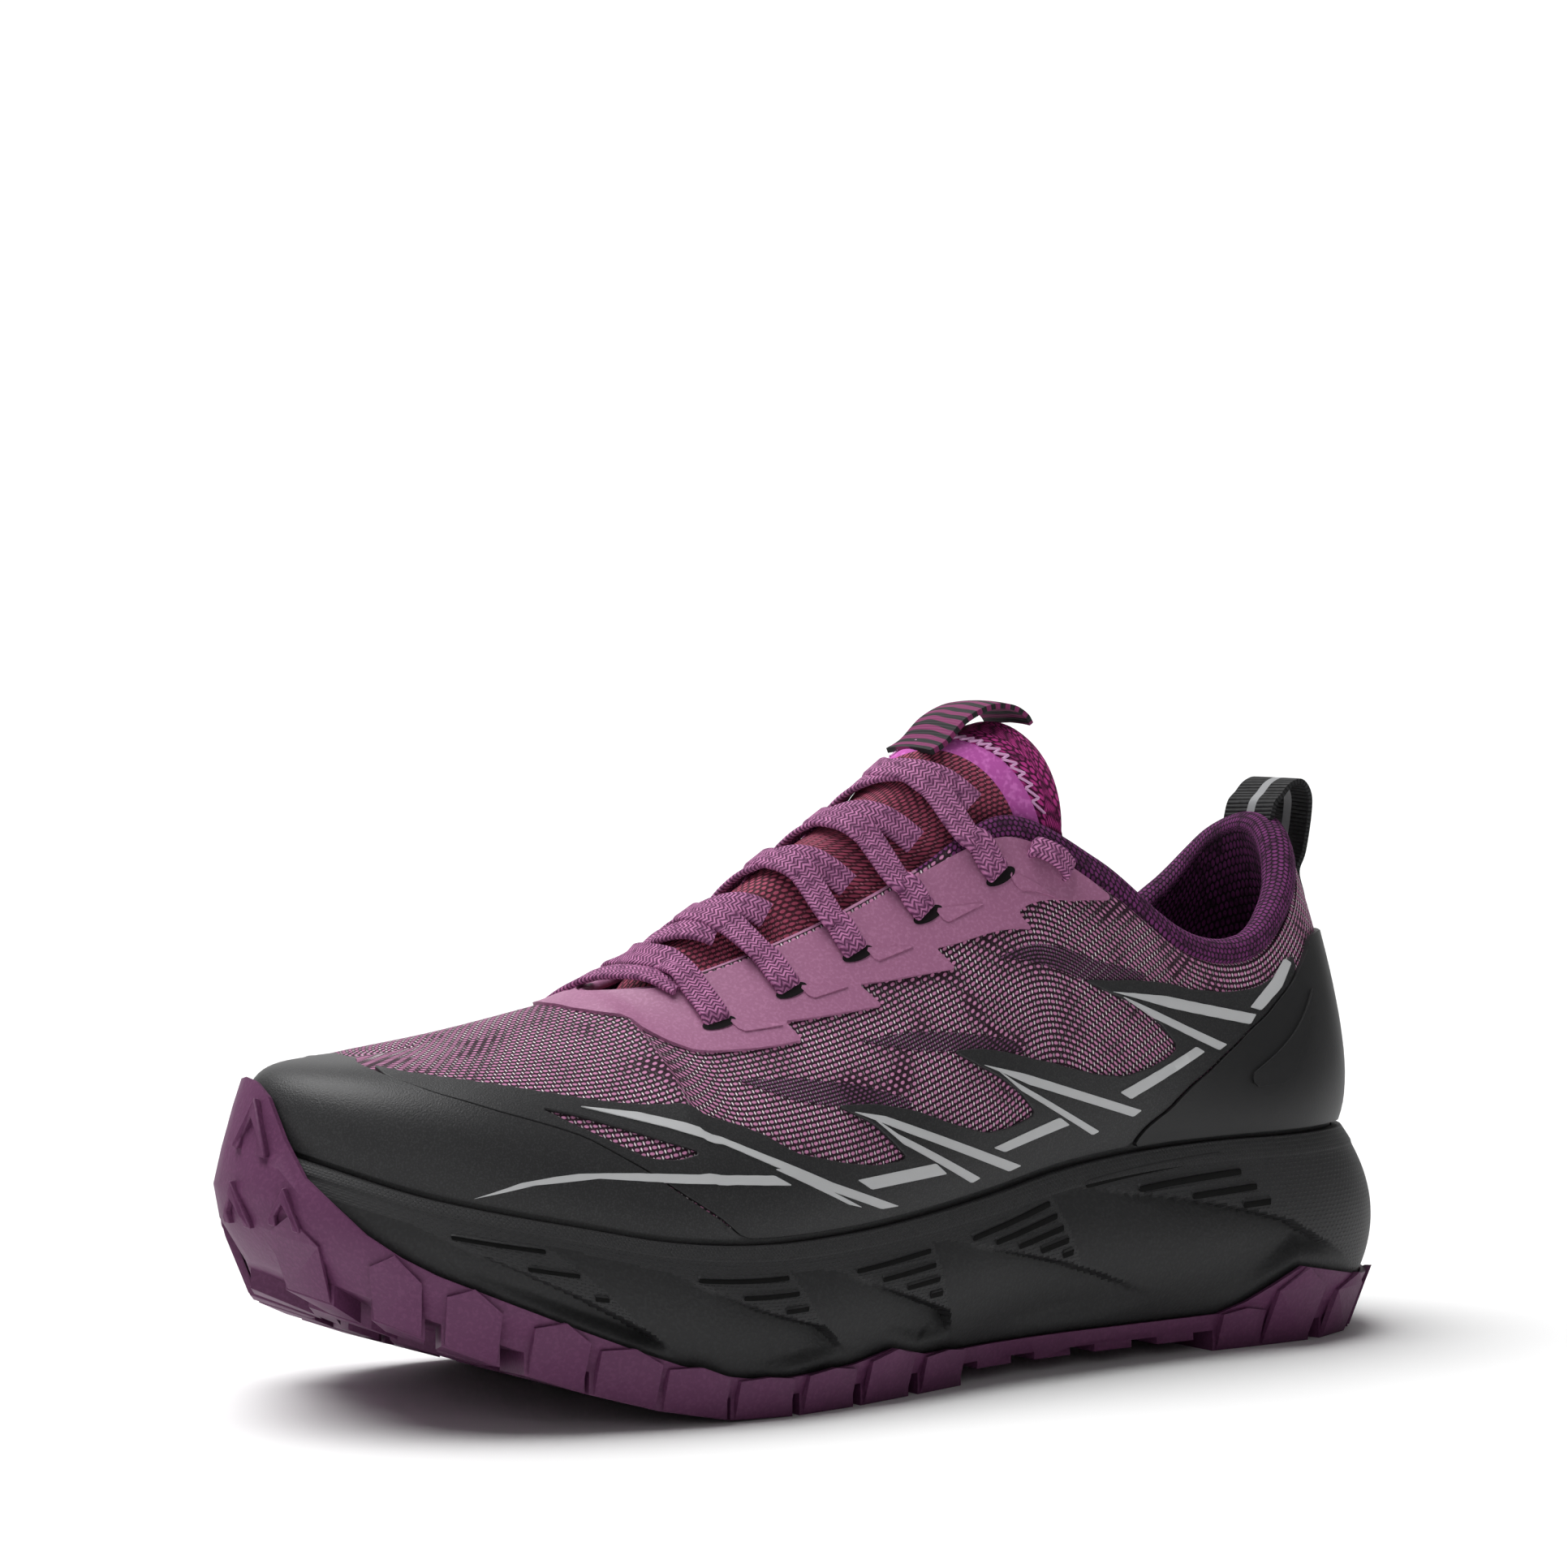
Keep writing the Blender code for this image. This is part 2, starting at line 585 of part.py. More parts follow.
def side_mesh(half):
    """The midsole's outer side between heel and toe, as (u, q, inward, up) points and
    triangles; lines of double points make the steps under the fins."""
    fins = fin_parts()
    points, edges, kind = [], [], []

    def add(point, note=None):
        for i, old in enumerate(points):
            if (old - point).length < .01 * MM:
                return i
        points.append(point)
        kind.append(note)
        return len(points) - 1

    def add_line(line, note):
        ids = [add(p, note) for p in line]
        edges.extend(zip(ids, ids[1:]))

    for q in (0, 1):
        for u in half:
            add(metric(u, q))
    for q in (.2, .4, .6, .8):
        add(metric(0, q))
        add(metric(TOE_ROW, q))
    lines = []
    for fin in fins:
        line = walk(fin["step"], 7 * MM)
        add_line(line, fin)
        top, low = metric(*fin["top"]), metric(*fin["low"])
        add_line(walk([top, low], 7 * MM), None)
        lines += [fin["step"], [top, low]]
        for front, back in groove_lines(fin):
            half_width = (front - back).orthogonal().normalized() * GROOVE_WIDTH / 2
            middle = (front + back) / 2
            ring = [front, middle + half_width, back, middle - half_width]
            ids = [add(p) for p in ring]
            edges.extend(zip(ids, ids[1:] + ids[:1]))
            add(front * .25 + back * .75, "groove")
            add(front * .6 + back * .4, "groove")
            lines.append([front, back])
    rows = 5
    for j in range(1, rows + 1):
        for i, u in enumerate(half[1:-1]):
            point = metric(u, (j - .5 * (i % 2)) / (rows + .5))
            if all(nearest(point, line)[0] > 3 * MM for line in lines):
                add(point)
    coords, _, faces, origins, _, _ = delaunay_2d_cdt(points, edges, [], 0, 1e-7)
    spots, table, triangles = [], {}, []

    def spot(i, low):
        source = origins[i][0] if origins[i] else None
        note = kind[source] if source is not None else None
        key = (i, low if isinstance(note, dict) else None)
        if key not in table:
            u, q = coords[i].x / ROW_PITCH, coords[i].y / SIDE_PITCH
            inward, up = 0, 0
            if note == "groove":
                inward = GROOVE_DEPTH
            elif isinstance(note, dict):
                depth = step_depth(note, nearest(coords[i], note["step"])[1])
                inward = depth if low else 0
                up = FIN_UNDERCUT * depth / FIN_DEPTH if low else 0
            if inward == 0:
                for fin in fins:
                    if note is not fin and inside(coords[i], fin["band"]):
                        inward = band_depth(fin, coords[i])
            table[key] = len(spots)
            spots.append((u, q, inward, up))
        return table[key]

    for face in faces:
        centre = sum((coords[i] for i in face), Vector((0, 0))) / 3
        owner = next((f for f in fins if inside(centre, f["band"])), None)
        corner = []
        for i in face:
            note = kind[origins[i][0]] if origins[i] else None
            corner.append(spot(i, isinstance(note, dict) and note is owner))
        triangles.append(corner)
    for fin in fins:
        ids = [i for i, o in enumerate(origins) if o and kind[o[0]] is fin]
        ids.sort(key=lambda i: nearest(coords[i], fin["step"])[1])
        for a, b in zip(ids, ids[1:]):
            triangles.append((spot(a, False), spot(b, False), spot(b, True), spot(a, True)))
    return spots, triangles


def make_midsole(half):
    bm = bmesh.new()
    spots, triangles = side_mesh(half)
    for inner in (False, True):
        verts = [bm.verts.new(side_point(LOOP - u if inner else u, q, inward, up))
                 for u, q, inward, up in spots]
        for face in triangles:
            bm.faces.new([verts[i] for i in face])
    loop = whole_loop(half)
    bottom = add_row(bm, [side_point(u, 0) for u in loop])
    rim = add_row(bm, [side_point(u, 1) for u in loop])
    lip = add_row(bm, [place(u, bite_reach(u) + GAP, rim_height(u)) for u in loop])
    floor = add_row(bm, [place(u, bite_reach(u) + GAP, rim_height(u) - CUP_DEPTH) for u in loop])
    strip(bm, rim, lip)
    strip(bm, lip, floor)
    across(bm, floor)
    across(bm, bottom)
    return solid("midsole", bm, material("midsole_foam", "1d1d1f", .75))


# Outsole

def cap_lift():
    """Height of the toe bumper's inner face off the upper: the toe cap lies between."""
    return GAP + TOE_CAP_THICKNESS + 2 * GAP


def wrap_rows(share):
    """Shares of the side's height, and of the upper's curve past 1, of the wrap's rows."""
    rows = 5
    if share <= 1:
        return [share * i / rows for i in range(rows + 1)]
    return [0, .3, .6, .9, 1 + (share - 1) * .45, share]


def wrap_point(u, s, outward):
    """A point of the rubber's wrap: up the midsole's side, then up the toe cap."""
    if s <= 1:
        return side_point(u, s, -outward - WRAP_GAP * smooth(s / .2) - GAP * 1.2)
    return skin(u, (s - 1), cap_lift() + outward)


def make_outsole(half):
    bm = bmesh.new()
    loop = whole_loop(half)
    shares = [wrap_rows(along_table(WRAP_EDGE, one_side(u))) for u in loop]
    inner_rows, outer_rows = [], []
    count = len(shares[0])
    for j in range(count):
        inner_rows.append([])
        outer_rows.append([])
        for u, share in zip(loop, shares):
            thick = WRAP_THICKNESS + (WRAP_EDGE_THICKNESS - WRAP_THICKNESS) * j / (count - 1)
            down = Vector((0, 0, 0))
            inner = wrap_point(u, share[j], 0)
            outer = wrap_point(u, share[j], thick)
            if j == 0:
                down.z = -GAP
                outer = wrap_point(u, share[j], thick * .3)
                outer.z -= GAP + PLATE
            inner_rows[-1].append(inner + down)
            outer_rows[-1].append(outer)
    inner_rows = [add_row(bm, row) for row in inner_rows]
    outer_rows = [add_row(bm, row) for row in outer_rows]
    for rows in (inner_rows, outer_rows):
        for a, b in zip(rows, rows[1:]):
            strip(bm, a, b)
        across(bm, rows[0])
    strip(bm, inner_rows[-1], outer_rows[-1])
    outsole = solid("outsole", bm, material("outsole_rubber", "5d3a5c", .6))
    combine(outsole, lug_blocks(), "UNION")
    combine(outsole, lug_houses(), "UNION")
    merge = outsole.modifiers.new("merge_flat_faces", "DECIMATE")
    merge.decimate_type = "DISSOLVE"
    merge.angle_limit = math.radians(2)
    return outsole


def prism(bm, front, back):
    """A closed solid between two polygons with as many corners."""
    a, b = add_row(bm, front), add_row(bm, back)
    strip(bm, a, b)
    bm.faces.new(a)
    bm.faces.new(b)


def plate_middle(x):
    return ground(x) + LUG_DEPTH + PLATE / 2


def half_length(u, share):
    """Half a lug's length as a step of row place."""
    run = (place(u + .01, base_reach(u), 0) - place(u - .01, base_reach(u), 0)).length / .02
    return share * LUG_LENGTH / 2 / run


def flat_lug(bm, corners, lift=0):
    """A lug from its corners (x, y), up into the plate."""
    prism(bm, [Vector((x, y, ground(x) + lift)) for x, y in corners],
          [Vector((x, y, plate_middle(x))) for x, y in corners])


def lug_blocks():
    bm = bmesh.new()
    for u0, share, peak in EDGE_LUGS:
        step = half_length(u0, share)
        lift = 0 if peak else LUG_DEPTH - ARCH_LUG_DEPTH
        for mirror in (False, True):
            ends = [LOOP - u if mirror else u for u in (u0 - step, u0 + step)]
            corners = [place(u, base_reach(u) + r, 0)
                       for u, r in ((ends[0], .9 * MM), (ends[1], .9 * MM),
                                    (ends[1], -LUG_REACH), (ends[0], -LUG_REACH))]
            flat_lug(bm, [(c.x, c.y) for c in corners], lift)
    for u, sides in CENTRE_LUGS:
        outer, inner = (place(k, base_reach(k), 0) for k in (u, LOOP - u))
        centre, half_chord = (outer + inner) / 2, (outer - inner).length / 2
        flat_lug(bm, [(centre.x + a * LUG_LENGTH, centre.y + b * LUG_LENGTH) for a, b in ARROW])
        for side in (-1, 1) if sides else ():
            middle = centre.y + side * half_chord / 2
            flat_lug(bm, [(centre.x + a * LUG_LENGTH, middle + side * b * LUG_LENGTH)
                          for a, b in BLOCK[::side]])
    return cutter("lug_blocks", bm)


def lug_houses():
    """The lugs' outer faces: a wall with a peak, proud of the wrap."""
    bm = bmesh.new()
    for u0, share, peak in EDGE_LUGS:
        step = half_length(u0, share * HOUSE_LENGTH)
        for mirror in (False, True) if peak else ():
            start, middle, end = (LOOP - u if mirror else u for u in (u0 - step, u0, u0 + step))
            layers = []
            for outward, foot in ((-.4 * MM, .2 * MM), (LUG_PROUD, LUG_PROUD)):
                feet = [place(u, base_reach(u) + foot, 0) for u in (start, end)]
                for foot_point in feet:
                    foot_point.z = ground(foot_point.x) + HOUSE_LIFT
                lift = WRAP_EDGE_THICKNESS + outward
                walls = [wrap_point(end, peak * .55, lift), wrap_point(middle, peak, lift),
                         wrap_point(start, peak * .55, lift)]
                layers.append([feet[0], feet[1]] + walls)
            prism(bm, *layers)
    return cutter("lug_houses", bm)


# Insole

def make_insole(half):
    bm = bmesh.new()
    loop = whole_loop(half)
    reach = [bite_reach(u) - WALL - 2 * GAP for u in loop]
    low = add_row(bm, [place(u, r, rim_height(u) - CUP_DEPTH + GAP) for u, r in zip(loop, reach)])
    high = add_row(bm, [place(u, r, rim_height(u) - CUP_DEPTH + GAP + INSOLE_THICKNESS)
                        for u, r in zip(loop, reach)])
    strip(bm, low, high)
    across(bm, low)
    across(bm, high)
    return solid("insole", bm, material("insole_foam", "6b4a68", .9))


# Upper

OUTER_ROWS = (0, .08, .19, .31, .44, .58, .72, .86, 1)
INNER_ROWS = (1, .86, .72, .58, .31, 0)


def make_upper(half, slots):
    bm = bmesh.new()
    loop = whole_loop(half)
    drop = CUP_DEPTH - GAP
    hem_out = [place(u, bite_reach(u), bite_height(u) - drop) for u in loop]
    hem_in = [place(u, bite_reach(u) - WALL, bite_height(u) - drop) for u in loop]
    outer = [hem_out] + [[upper_point(u, v) for u in loop] for v in OUTER_ROWS]
    roll = [[], []]
    for u in loop:
        top, thick = upper_point(u, 1), wall_at(u, 1)
        inner_top = skin(u, 1, -thick)
        rise = (top - upper_point(u, .97)).normalized()
        rise *= min(.35 * thick, .4 * upper_curve(u)[3][0])
        roll[0].append(top * .8 + inner_top * .2 + rise)
        roll[1].append(top * .2 + inner_top * .8 + rise)
    if_closed = [throat_closing(u) == 0 for u in loop]
    for row in roll:
        for i, u in enumerate(loop):
            if if_closed[i]:
                row[i] = upper_point(u, 1).lerp(skin(u, 1, -WALL), .2 if row is roll[0] else .8)
    inner = [[skin(u, v, -wall_at(u, v)) for u in loop] for v in INNER_ROWS] + [hem_in]
    rows = [add_row(bm, row) for row in outer]
    for a, b in zip(rows, rows[1:]):
        strip(bm, a, b)
    inside_rows = [add_row(bm, row) for row in inner]
    for a, b in zip(inside_rows, inside_rows[1:]):
        strip(bm, a, b)
    strip(bm, rows[0], inside_rows[-1])
    edge_rows = [rows[-1]] + [add_row(bm, row) for row in roll] + [inside_rows[0]]
    for a, b in zip(edge_rows, edge_rows[1:]):
        for i in range(len(loop)):
            j = (i + 1) % len(loop)
            if not (if_closed[i] and if_closed[j]):
                bm.faces.new((a[i], a[j], b[j], b[i]))
    loose = [v for v in bm.verts if not v.link_faces]
    bmesh.ops.delete(bm, geom=loose, context="VERTS")
    upper = solid("upper", bm, material("woven_mesh", "8a6079", .85))
    combine(upper, slots, "DIFFERENCE")


# Tongue

def tongue_value(name, u):
    return curve_table(TONGUE, TONGUE_COLUMNS, name, one_side(u))


def tongue_side(u, share):
    """A point of the tongue's outer face where the upper covers it."""
    under = min(tongue_value("under", u), 1)
    v = under * share
    clear = TONGUE_GAP + (1 - under) * 9 * TONGUE_THICKNESS
    return skin(u, v, -wall_at(u, v) - clear)


def tongue_arch(u, a):
    """A point of the tongue's outer face between the throat's sides: a is 1 at the outer
    side, 0 at the crest and -1 at the inner side."""
    outer, inner = tongue_side(u, 1), tongue_side(LOOP - u, 1)
    crest = (outer + inner) / 2
    crest.z = tongue_value("crest", u) * INSTEP_HEIGHT
    start, side = (outer, 1) if a >= 0 else (inner, -1)
    flare = math.radians(tongue_value("flare", u))
    rise = .5 * (crest - start).length
    first = start + Vector((0, -side * math.sin(flare), math.cos(flare))) * rise
    second = crest + Vector((0, side * .62 * abs(start.y - crest.y), 0))
    t = 1 - abs(a)
    return (start * (1 - t) ** 3 + first * 3 * t * (1 - t) ** 2
            + second * 3 * t * t * (1 - t) + crest * t ** 3)


TONGUE_ROWS = (.58, .72, .86)


def make_tongue(half):
    bm = bmesh.new()
    first, last = TONGUE[0][0], TONGUE[-1][0]
    places = [first] + [u for u in half if first + .2 < u < last - .2] + [last]
    outer_rows, inner_rows = [], []
    for u in places:
        row = [tongue_side(u, share) for share in TONGUE_ROWS]
        row += [tongue_arch(u, a) for a in (1, .75, .5, .25, 0, -.25, -.5, -.75, -1)]
        row += [tongue_side(LOOP - u, share) for share in TONGUE_ROWS[::-1]]
        thick = TONGUE_THICKNESS + tongue_value("pad", u) * (TONGUE_PAD - TONGUE_THICKNESS)
        below = []
        for i, point in enumerate(row):
            run = row[min(i + 1, len(row) - 1)] - row[max(i - 1, 0)]
            run.x = 0
            run.normalize()
            below.append(point + Vector((0, -run.z, run.y)) * thick)
        outer_rows.append(add_row(bm, row))
        inner_rows.append(add_row(bm, below))
    for rows in (outer_rows, inner_rows):
        for a, b in zip(rows, rows[1:]):
            strip(bm, a, b, closed=False)
    for end in (0, -1):
        strip(bm, outer_rows[end], inner_rows[end], closed=False)
        strip(bm, [r[end] for r in outer_rows], [r[end] for r in inner_rows], closed=False)
    return solid("tongue", bm, material("tongue_mesh", "8e3f5f", .9))


# Overlays: pieces cut from the upper's own function

def flat(u, v):
    """A place on the upper as lengths, for outlines."""
    return Vector((u * ROW_PITCH, v * UPPER_PITCH))


def overlay_lift(u, v):
    """Clearance under an overlay, more where the upper bends tightly round the throat's end."""
    near_end = smooth(1.6 - abs(one_side(u) - throat_end_place())) * smooth((v - .6) / .2)
    return OVERLAY_LIFT + 2.2 * GAP * near_end * smooth((1.4 - v) / .2)


def mirrored(edge, middle):
    """A half outline and its mirror image about a middle row."""
    return list(edge) + [(2 * middle - u, v) for u, v in edge[::-1] if u != middle]


def patch(name, half, outline, thickness, finish, window=(), slots=None):
    """A sheet of even thickness over an outline of the upper's outer face."""
    rings = [walk([flat(*p) for p in ring], OVERLAY_SPACING, closed=True)
             for ring in (outline, window) if ring]
    points, edges = [], []
    for ring in rings:
        start = len(points)
        points += ring
        count = len(ring)
        edges += [(start + i, start + (i + 1) % count) for i in range(count)]
    columns = [-u for u in half if u > 0] + whole_loop(half)
    rows = sorted(set(OUTER_ROWS + tuple(2 - v for v in OUTER_ROWS)))
    closed = [ring + ring[:1] for ring in rings]
    for u in columns:
        for v in rows:
            point = flat(u, v)
            if inside(point, rings[0]) and not any(inside(point, r) for r in rings[1:]):
                if all(nearest(point, line)[0] > 1.8 * MM for line in closed):
                    points.append(point)
    coords, _, faces, _, _, _ = delaunay_2d_cdt(points, edges, [], 0, 1e-7)
    bm = bmesh.new()
    low, high = ([bm.verts.new(skin(c.x / ROW_PITCH, c.y / UPPER_PITCH,
                                    overlay_lift(c.x / ROW_PITCH, c.y / UPPER_PITCH) + lift))
                  for c in coords] for lift in (0, thickness))
    rim = set()
    for face in faces:
        centre = sum((coords[i] for i in face), Vector((0, 0))) / 3
        if inside(centre, rings[0]) and not any(inside(centre, r) for r in rings[1:]):
            bm.faces.new([high[i] for i in face])
            bm.faces.new([low[i] for i in face[::-1]])
            for a, b in zip(face, face[1:] + face[:1]):
                if (b, a) in rim:
                    rim.remove((b, a))
                else:
                    rim.add((a, b))
    for a, b in sorted(rim):
        bm.faces.new((high[a], low[a], low[b], high[b]))
    loose = [v for v in bm.verts if not v.link_faces]
    bmesh.ops.delete(bm, geom=loose, context="VERTS")
    made = solid(name, bm, finish)
    if slots:
        combine(made, slots, "DIFFERENCE")
    return made


def make_overlays(half, slots):
    film = material("matt_film", "232326", .6)
    patch("heel_counter", half, mirrored(COUNTER_EDGE + COUNTER_HEM, 0), COUNTER_THICKNESS, film)
    patch("toe_cap", half, mirrored(CAP_EDGE, TOE_ROW), TOE_CAP_THICKNESS, film)
    counter = [(u + 2 * GAP / ROW_PITCH, v) for u, v in COUNTER_EDGE[3:]]
    cap = [(u - 2 * GAP / ROW_PITCH, v + 1.5 * GAP / UPPER_PITCH) for u, v in CAP_EDGE[1:8]]
    side = list(SIDE_TOP) + counter + [(CAP_EDGE[0][0] - 2 * GAP / ROW_PITCH, HEM)] + cap
    patch("side_overlay_outer", half, side, FILM, film, SIDE_WINDOW)
    patch("side_overlay_inner", half, [(LOOP - u, v) for u, v in side], FILM, film,
          [(LOOP - u, v) for u, v in SIDE_WINDOW])
    edge = 1 - THROAT_MARGIN
    throat = [(u, edge) for u in half if EYESTAY_REAR[0][0] < u < throat_end_place()]
    outer = list(EYESTAY_LOW[:-1])
    inner = [(u, 2 - v) for u, v in outer[::-1]]
    brow = list(EYESTAY_REAR[::-1]) + throat
    tip = (throat_end_place() + THROAT_MARGIN * UPPER_PITCH / ROW_PITCH, 1)
    outline = outer + [EYESTAY_LOW[-1]] + inner + [(u, 2 - v) for u, v in brow] + [tip]
    patch("eyestay", half, outline + brow[::-1], FILM, material("ripstop_film", "935f86", .5),
          slots=slots)


# Lace

def tongue_skin(u, a, lift):
    """A point off the tongue's outer face between the throat's sides, and its up direction."""
    step = .01
    low, high = max(a - step, -1), min(a + step, 1)
    up = (tongue_arch(u, high) - tongue_arch(u, low)).cross(
        tongue_arch(u + step, a) - tongue_arch(u - step, a)).normalized()
    up = up if up.z > 0 else -up
    return tongue_arch(u, a) + up * lift, up


def slot_frame(u, v, toward):
    """A slot's middle on the upper, the outward direction, and the lace's direction there."""
    base, up = upper_point(u, v), upper_normal(u, v)
    run = toward - base
    run = (run - up * run.dot(up)).normalized()
    return base, up, run


def lace_lift(layer):
    """Height of a lace's middle off what it lies on; layer 1 crosses and joins layer 0."""
    return LACE_CLEARANCE + (.5 + .4 * layer) * LACE_THICKNESS


def slot_end(base, up, run, lift):
    """The end of a lace that goes down into a slot."""
    return [(base - up * SLOT_DEPTH, -run), (base + up * (lift - LACE_THICKNESS), .3 * up - run),
            (base + up * (lift - .3 * LACE_THICKNESS) + run * .5 * LACE_THICKNESS, up - run)]


def bar_half(slot, height, crest, inner):
    """A bar of the lace from its slot to near the tongue's crest, as (point, up) pairs."""
    def side(u):
        return LOOP - u if inner else u

    least = OVERLAY_LIFT + FILM + lace_lift(1)
    lift = overlay_lift(slot, height) - OVERLAY_LIFT + least
    edge = slot + (crest - slot) * .35
    middle = height + (1 - height) * .5
    base, up, run = slot_frame(side(slot), height, skin(side(edge), .98, lift))
    path = slot_end(base, up, run, lift)
    path.append((base + up * lift + run * 1.7 * LACE_THICKNESS, up))
    path.append((skin(side((slot + edge) / 2), middle + .03, lift), upper_normal(side(slot), middle)))
    edge_up = (upper_normal(side(edge), .98) + Vector((0, 0, .6))).normalized()
    path.append((skin(side(edge), 1, lift) + Vector((0, 0, .7 * LACE_THICKNESS)), edge_up))
    for a in (.6, .42, .22):
        u = crest + (edge - crest) * a
        path.append(tongue_skin(u, -a if inner else a, lace_lift(1) + 2.5 * a * (lift - least)))
    return path


def ribbon(bm, path, width, thickness):
    """A flat band along (point, up) pairs, closed at both ends."""
    rings = []
    for i, (point, up) in enumerate(path):
        run = path[min(i + 1, len(path) - 1)][0] - path[max(i - 1, 0)][0]
        side = run.cross(up).normalized() * width / 2
        lift = side.cross(run).normalized() * thickness / 2
        rings.append(add_row(bm, [point + side + lift, point - side + lift,
                                  point - side - lift, point + side - lift]))
    for a, b in zip(rings, rings[1:]):
        strip(bm, a, b)
    bm.faces.new(rings[0])
    bm.faces.new(rings[-1])


def lace_paths():
    """The lace's bars over the tongue and the runs below them, from the front to the top."""
    runs = [FRONT_RUN] + [(*row[3:], 0) for row in LACES]
    for i, (out, inn, bow) in enumerate(runs):
        if i > 0:
            slot, height, crest = LACES[i - 1][:3]
            outer, inner = (bar_half(slot, height, crest, inner) for inner in (False, True))
            yield outer + [tongue_skin(crest, 0, lace_lift(1))] + inner[::-1]
        end = RUN_ENDS[i]
        yield [tongue_skin((out + inn + (out - inn) * a) / 2 + bow * (1 - (a / end) ** 2), a,
                           lace_lift(0)) for a in (end * k / 4 for k in range(4, -5, -1))]


def make_lace():
    finish = material("flat_lace", "7a4468", .8)
    for i, path in enumerate(lace_paths()):
        bm = bmesh.new()
        ribbon(bm, path, LACE_WIDTH, LACE_THICKNESS)
        if i == 0:
            lace = solid("lace", bm, finish)
        else:
            combine(lace, cutter("lace_run_%d" % i, bm), "UNION")
    for name, inner in (("lace_top_outer", False), ("lace_top_inner", True)):
        bm = bmesh.new()
        (low, high) = top_frames(inner)
        lift = OVERLAY_LIFT + FILM + lace_lift(0)
        path = slot_end(*low, lift) + [((low[0] + high[0]) / 2 + low[1] * (lift + LACE_CLEARANCE),
                                        low[1])]
        path += [(p, up) for p, up in slot_end(*high, lift)[::-1]]
        ribbon(bm, path, LACE_WIDTH * .8, LACE_THICKNESS)
        solid(name, bm, finish)


def top_frames(inner):
    """Frames of the two top holes, each with the direction to the other."""
    holes = [(LOOP - u if inner else u, v) for u, v in TOP_HOLES]
    return [slot_frame(*hole, upper_point(*other)) for hole, other in zip(holes, holes[::-1])]


def lace_slots():
    """The holes through eyestay and upper."""
    bm = bmesh.new()
    frames = []
    for slot, height, crest, _, _ in LACES:
        for inner in (False, True):
            path = bar_half(slot, height, crest, inner)
            u = LOOP - slot if inner else slot
            frames.append((*slot_frame(u, height, path[4][0]), SLOT_LENGTH))
    for inner in (False, True):
        frames += [(*frame, SLOT_LENGTH - .2 * LACE_WIDTH) for frame in top_frames(inner)]
    for base, up, run, length in frames:
        side = run.cross(up) * length / 2
        run = run * SLOT_WIDTH / 2
        ring = [side + run, side - run, -side - run, run - side]
        prism(bm, [base + up * 3 * MM + r for r in ring], [base - up * COLLAR_PAD + r for r in ring])
    return cutter("lace_slots", bm)


# Loops

def loop_band(name, path, bow, finish):
    """A webbing loop across the shoe's middle: centre line as (x, z), bow across its width."""
    bm = bmesh.new()
    half = LOOP_WIDTH / 2
    sides = [i / 2 * half for i in (-2, -1, 0, 1, 2)]
    rows = []
    for i, point in enumerate(path):
        run = path[min(i + 1, len(path) - 1)] - path[max(i - 1, 0)]
        across_run = Vector((run.y, -run.x)).normalized() * LOOP_THICKNESS / 2
        for sign in (1, -1):
            edge = point + across_run * sign
            rows.append([Vector((edge.x + y * y * bow[0], y, edge.y - y * y * bow[1]))
                         for y in sides])
    outer, inner = ([add_row(bm, row) for row in rows[k::2]] for k in (0, 1))
    for layer in (outer, inner):
        for a, b in zip(layer, layer[1:]):
            strip(bm, a, b, closed=False)
    for end in (0, -1):
        strip(bm, outer[end], inner[end], closed=False)
        strip(bm, [row[end] for row in outer], [row[end] for row in inner], closed=False)
    return solid(name, bm, finish)


def make_loops():
    seam = []
    for v in HEEL_LOOP_SEAM:
        point = skin(0, v, GAP + LOOP_THICKNESS / 2)
        seam.append(Vector((point.x, point.z)))
    run = [Vector((x * SOLE_LENGTH, z * HEEL_HEIGHT)) for x, z in HEEL_LOOP_RUN]
    webbing = material("webbing", "1c1a1e", .8)
    loop_band("heel_loop", seam + run, (1 / (2 * HEEL_RADIUS), 0), webbing)
    run = [Vector((x * SOLE_LENGTH, z * INSTEP_HEIGHT)) for x, z in TONGUE_LOOP_RUN]
    loop_band("tongue_loop", run, (0, 1 / (2 * TONGUE_LOOP_RADIUS)), webbing)


def move_to_origin():
    """Moves the model so that its box is centred over the origin."""
    shown = [o for o in bpy.data.objects if not o.hide_render or o.name.startswith("lug_")]
    points = [v.co for o in shown for v in o.data.vertices]
    shift = Vector([-(max(p[i] for p in points) + min(p[i] for p in points)) / 2 for i in (0, 1)]
                   + [0])
    for made in bpy.data.objects:
        for vertex in made.data.vertices:
            vertex.co += shift


def main():
    for old in list(bpy.data.objects):
        bpy.data.objects.remove(old)
    half = half_columns((throat_end_place(),))
    make_midsole(half)
    make_outsole(half)
    make_insole(half)
    slots = lace_slots()
    make_upper(half, slots)
    make_overlays(half, slots)
    make_tongue(half)
    make_lace()
    make_loops()
    move_to_origin()


main()
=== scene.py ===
import math
from functools import lru_cache

import bmesh
import bpy
from mathutils import Matrix, Vector
from mathutils.geometry import delaunay_2d_cdt


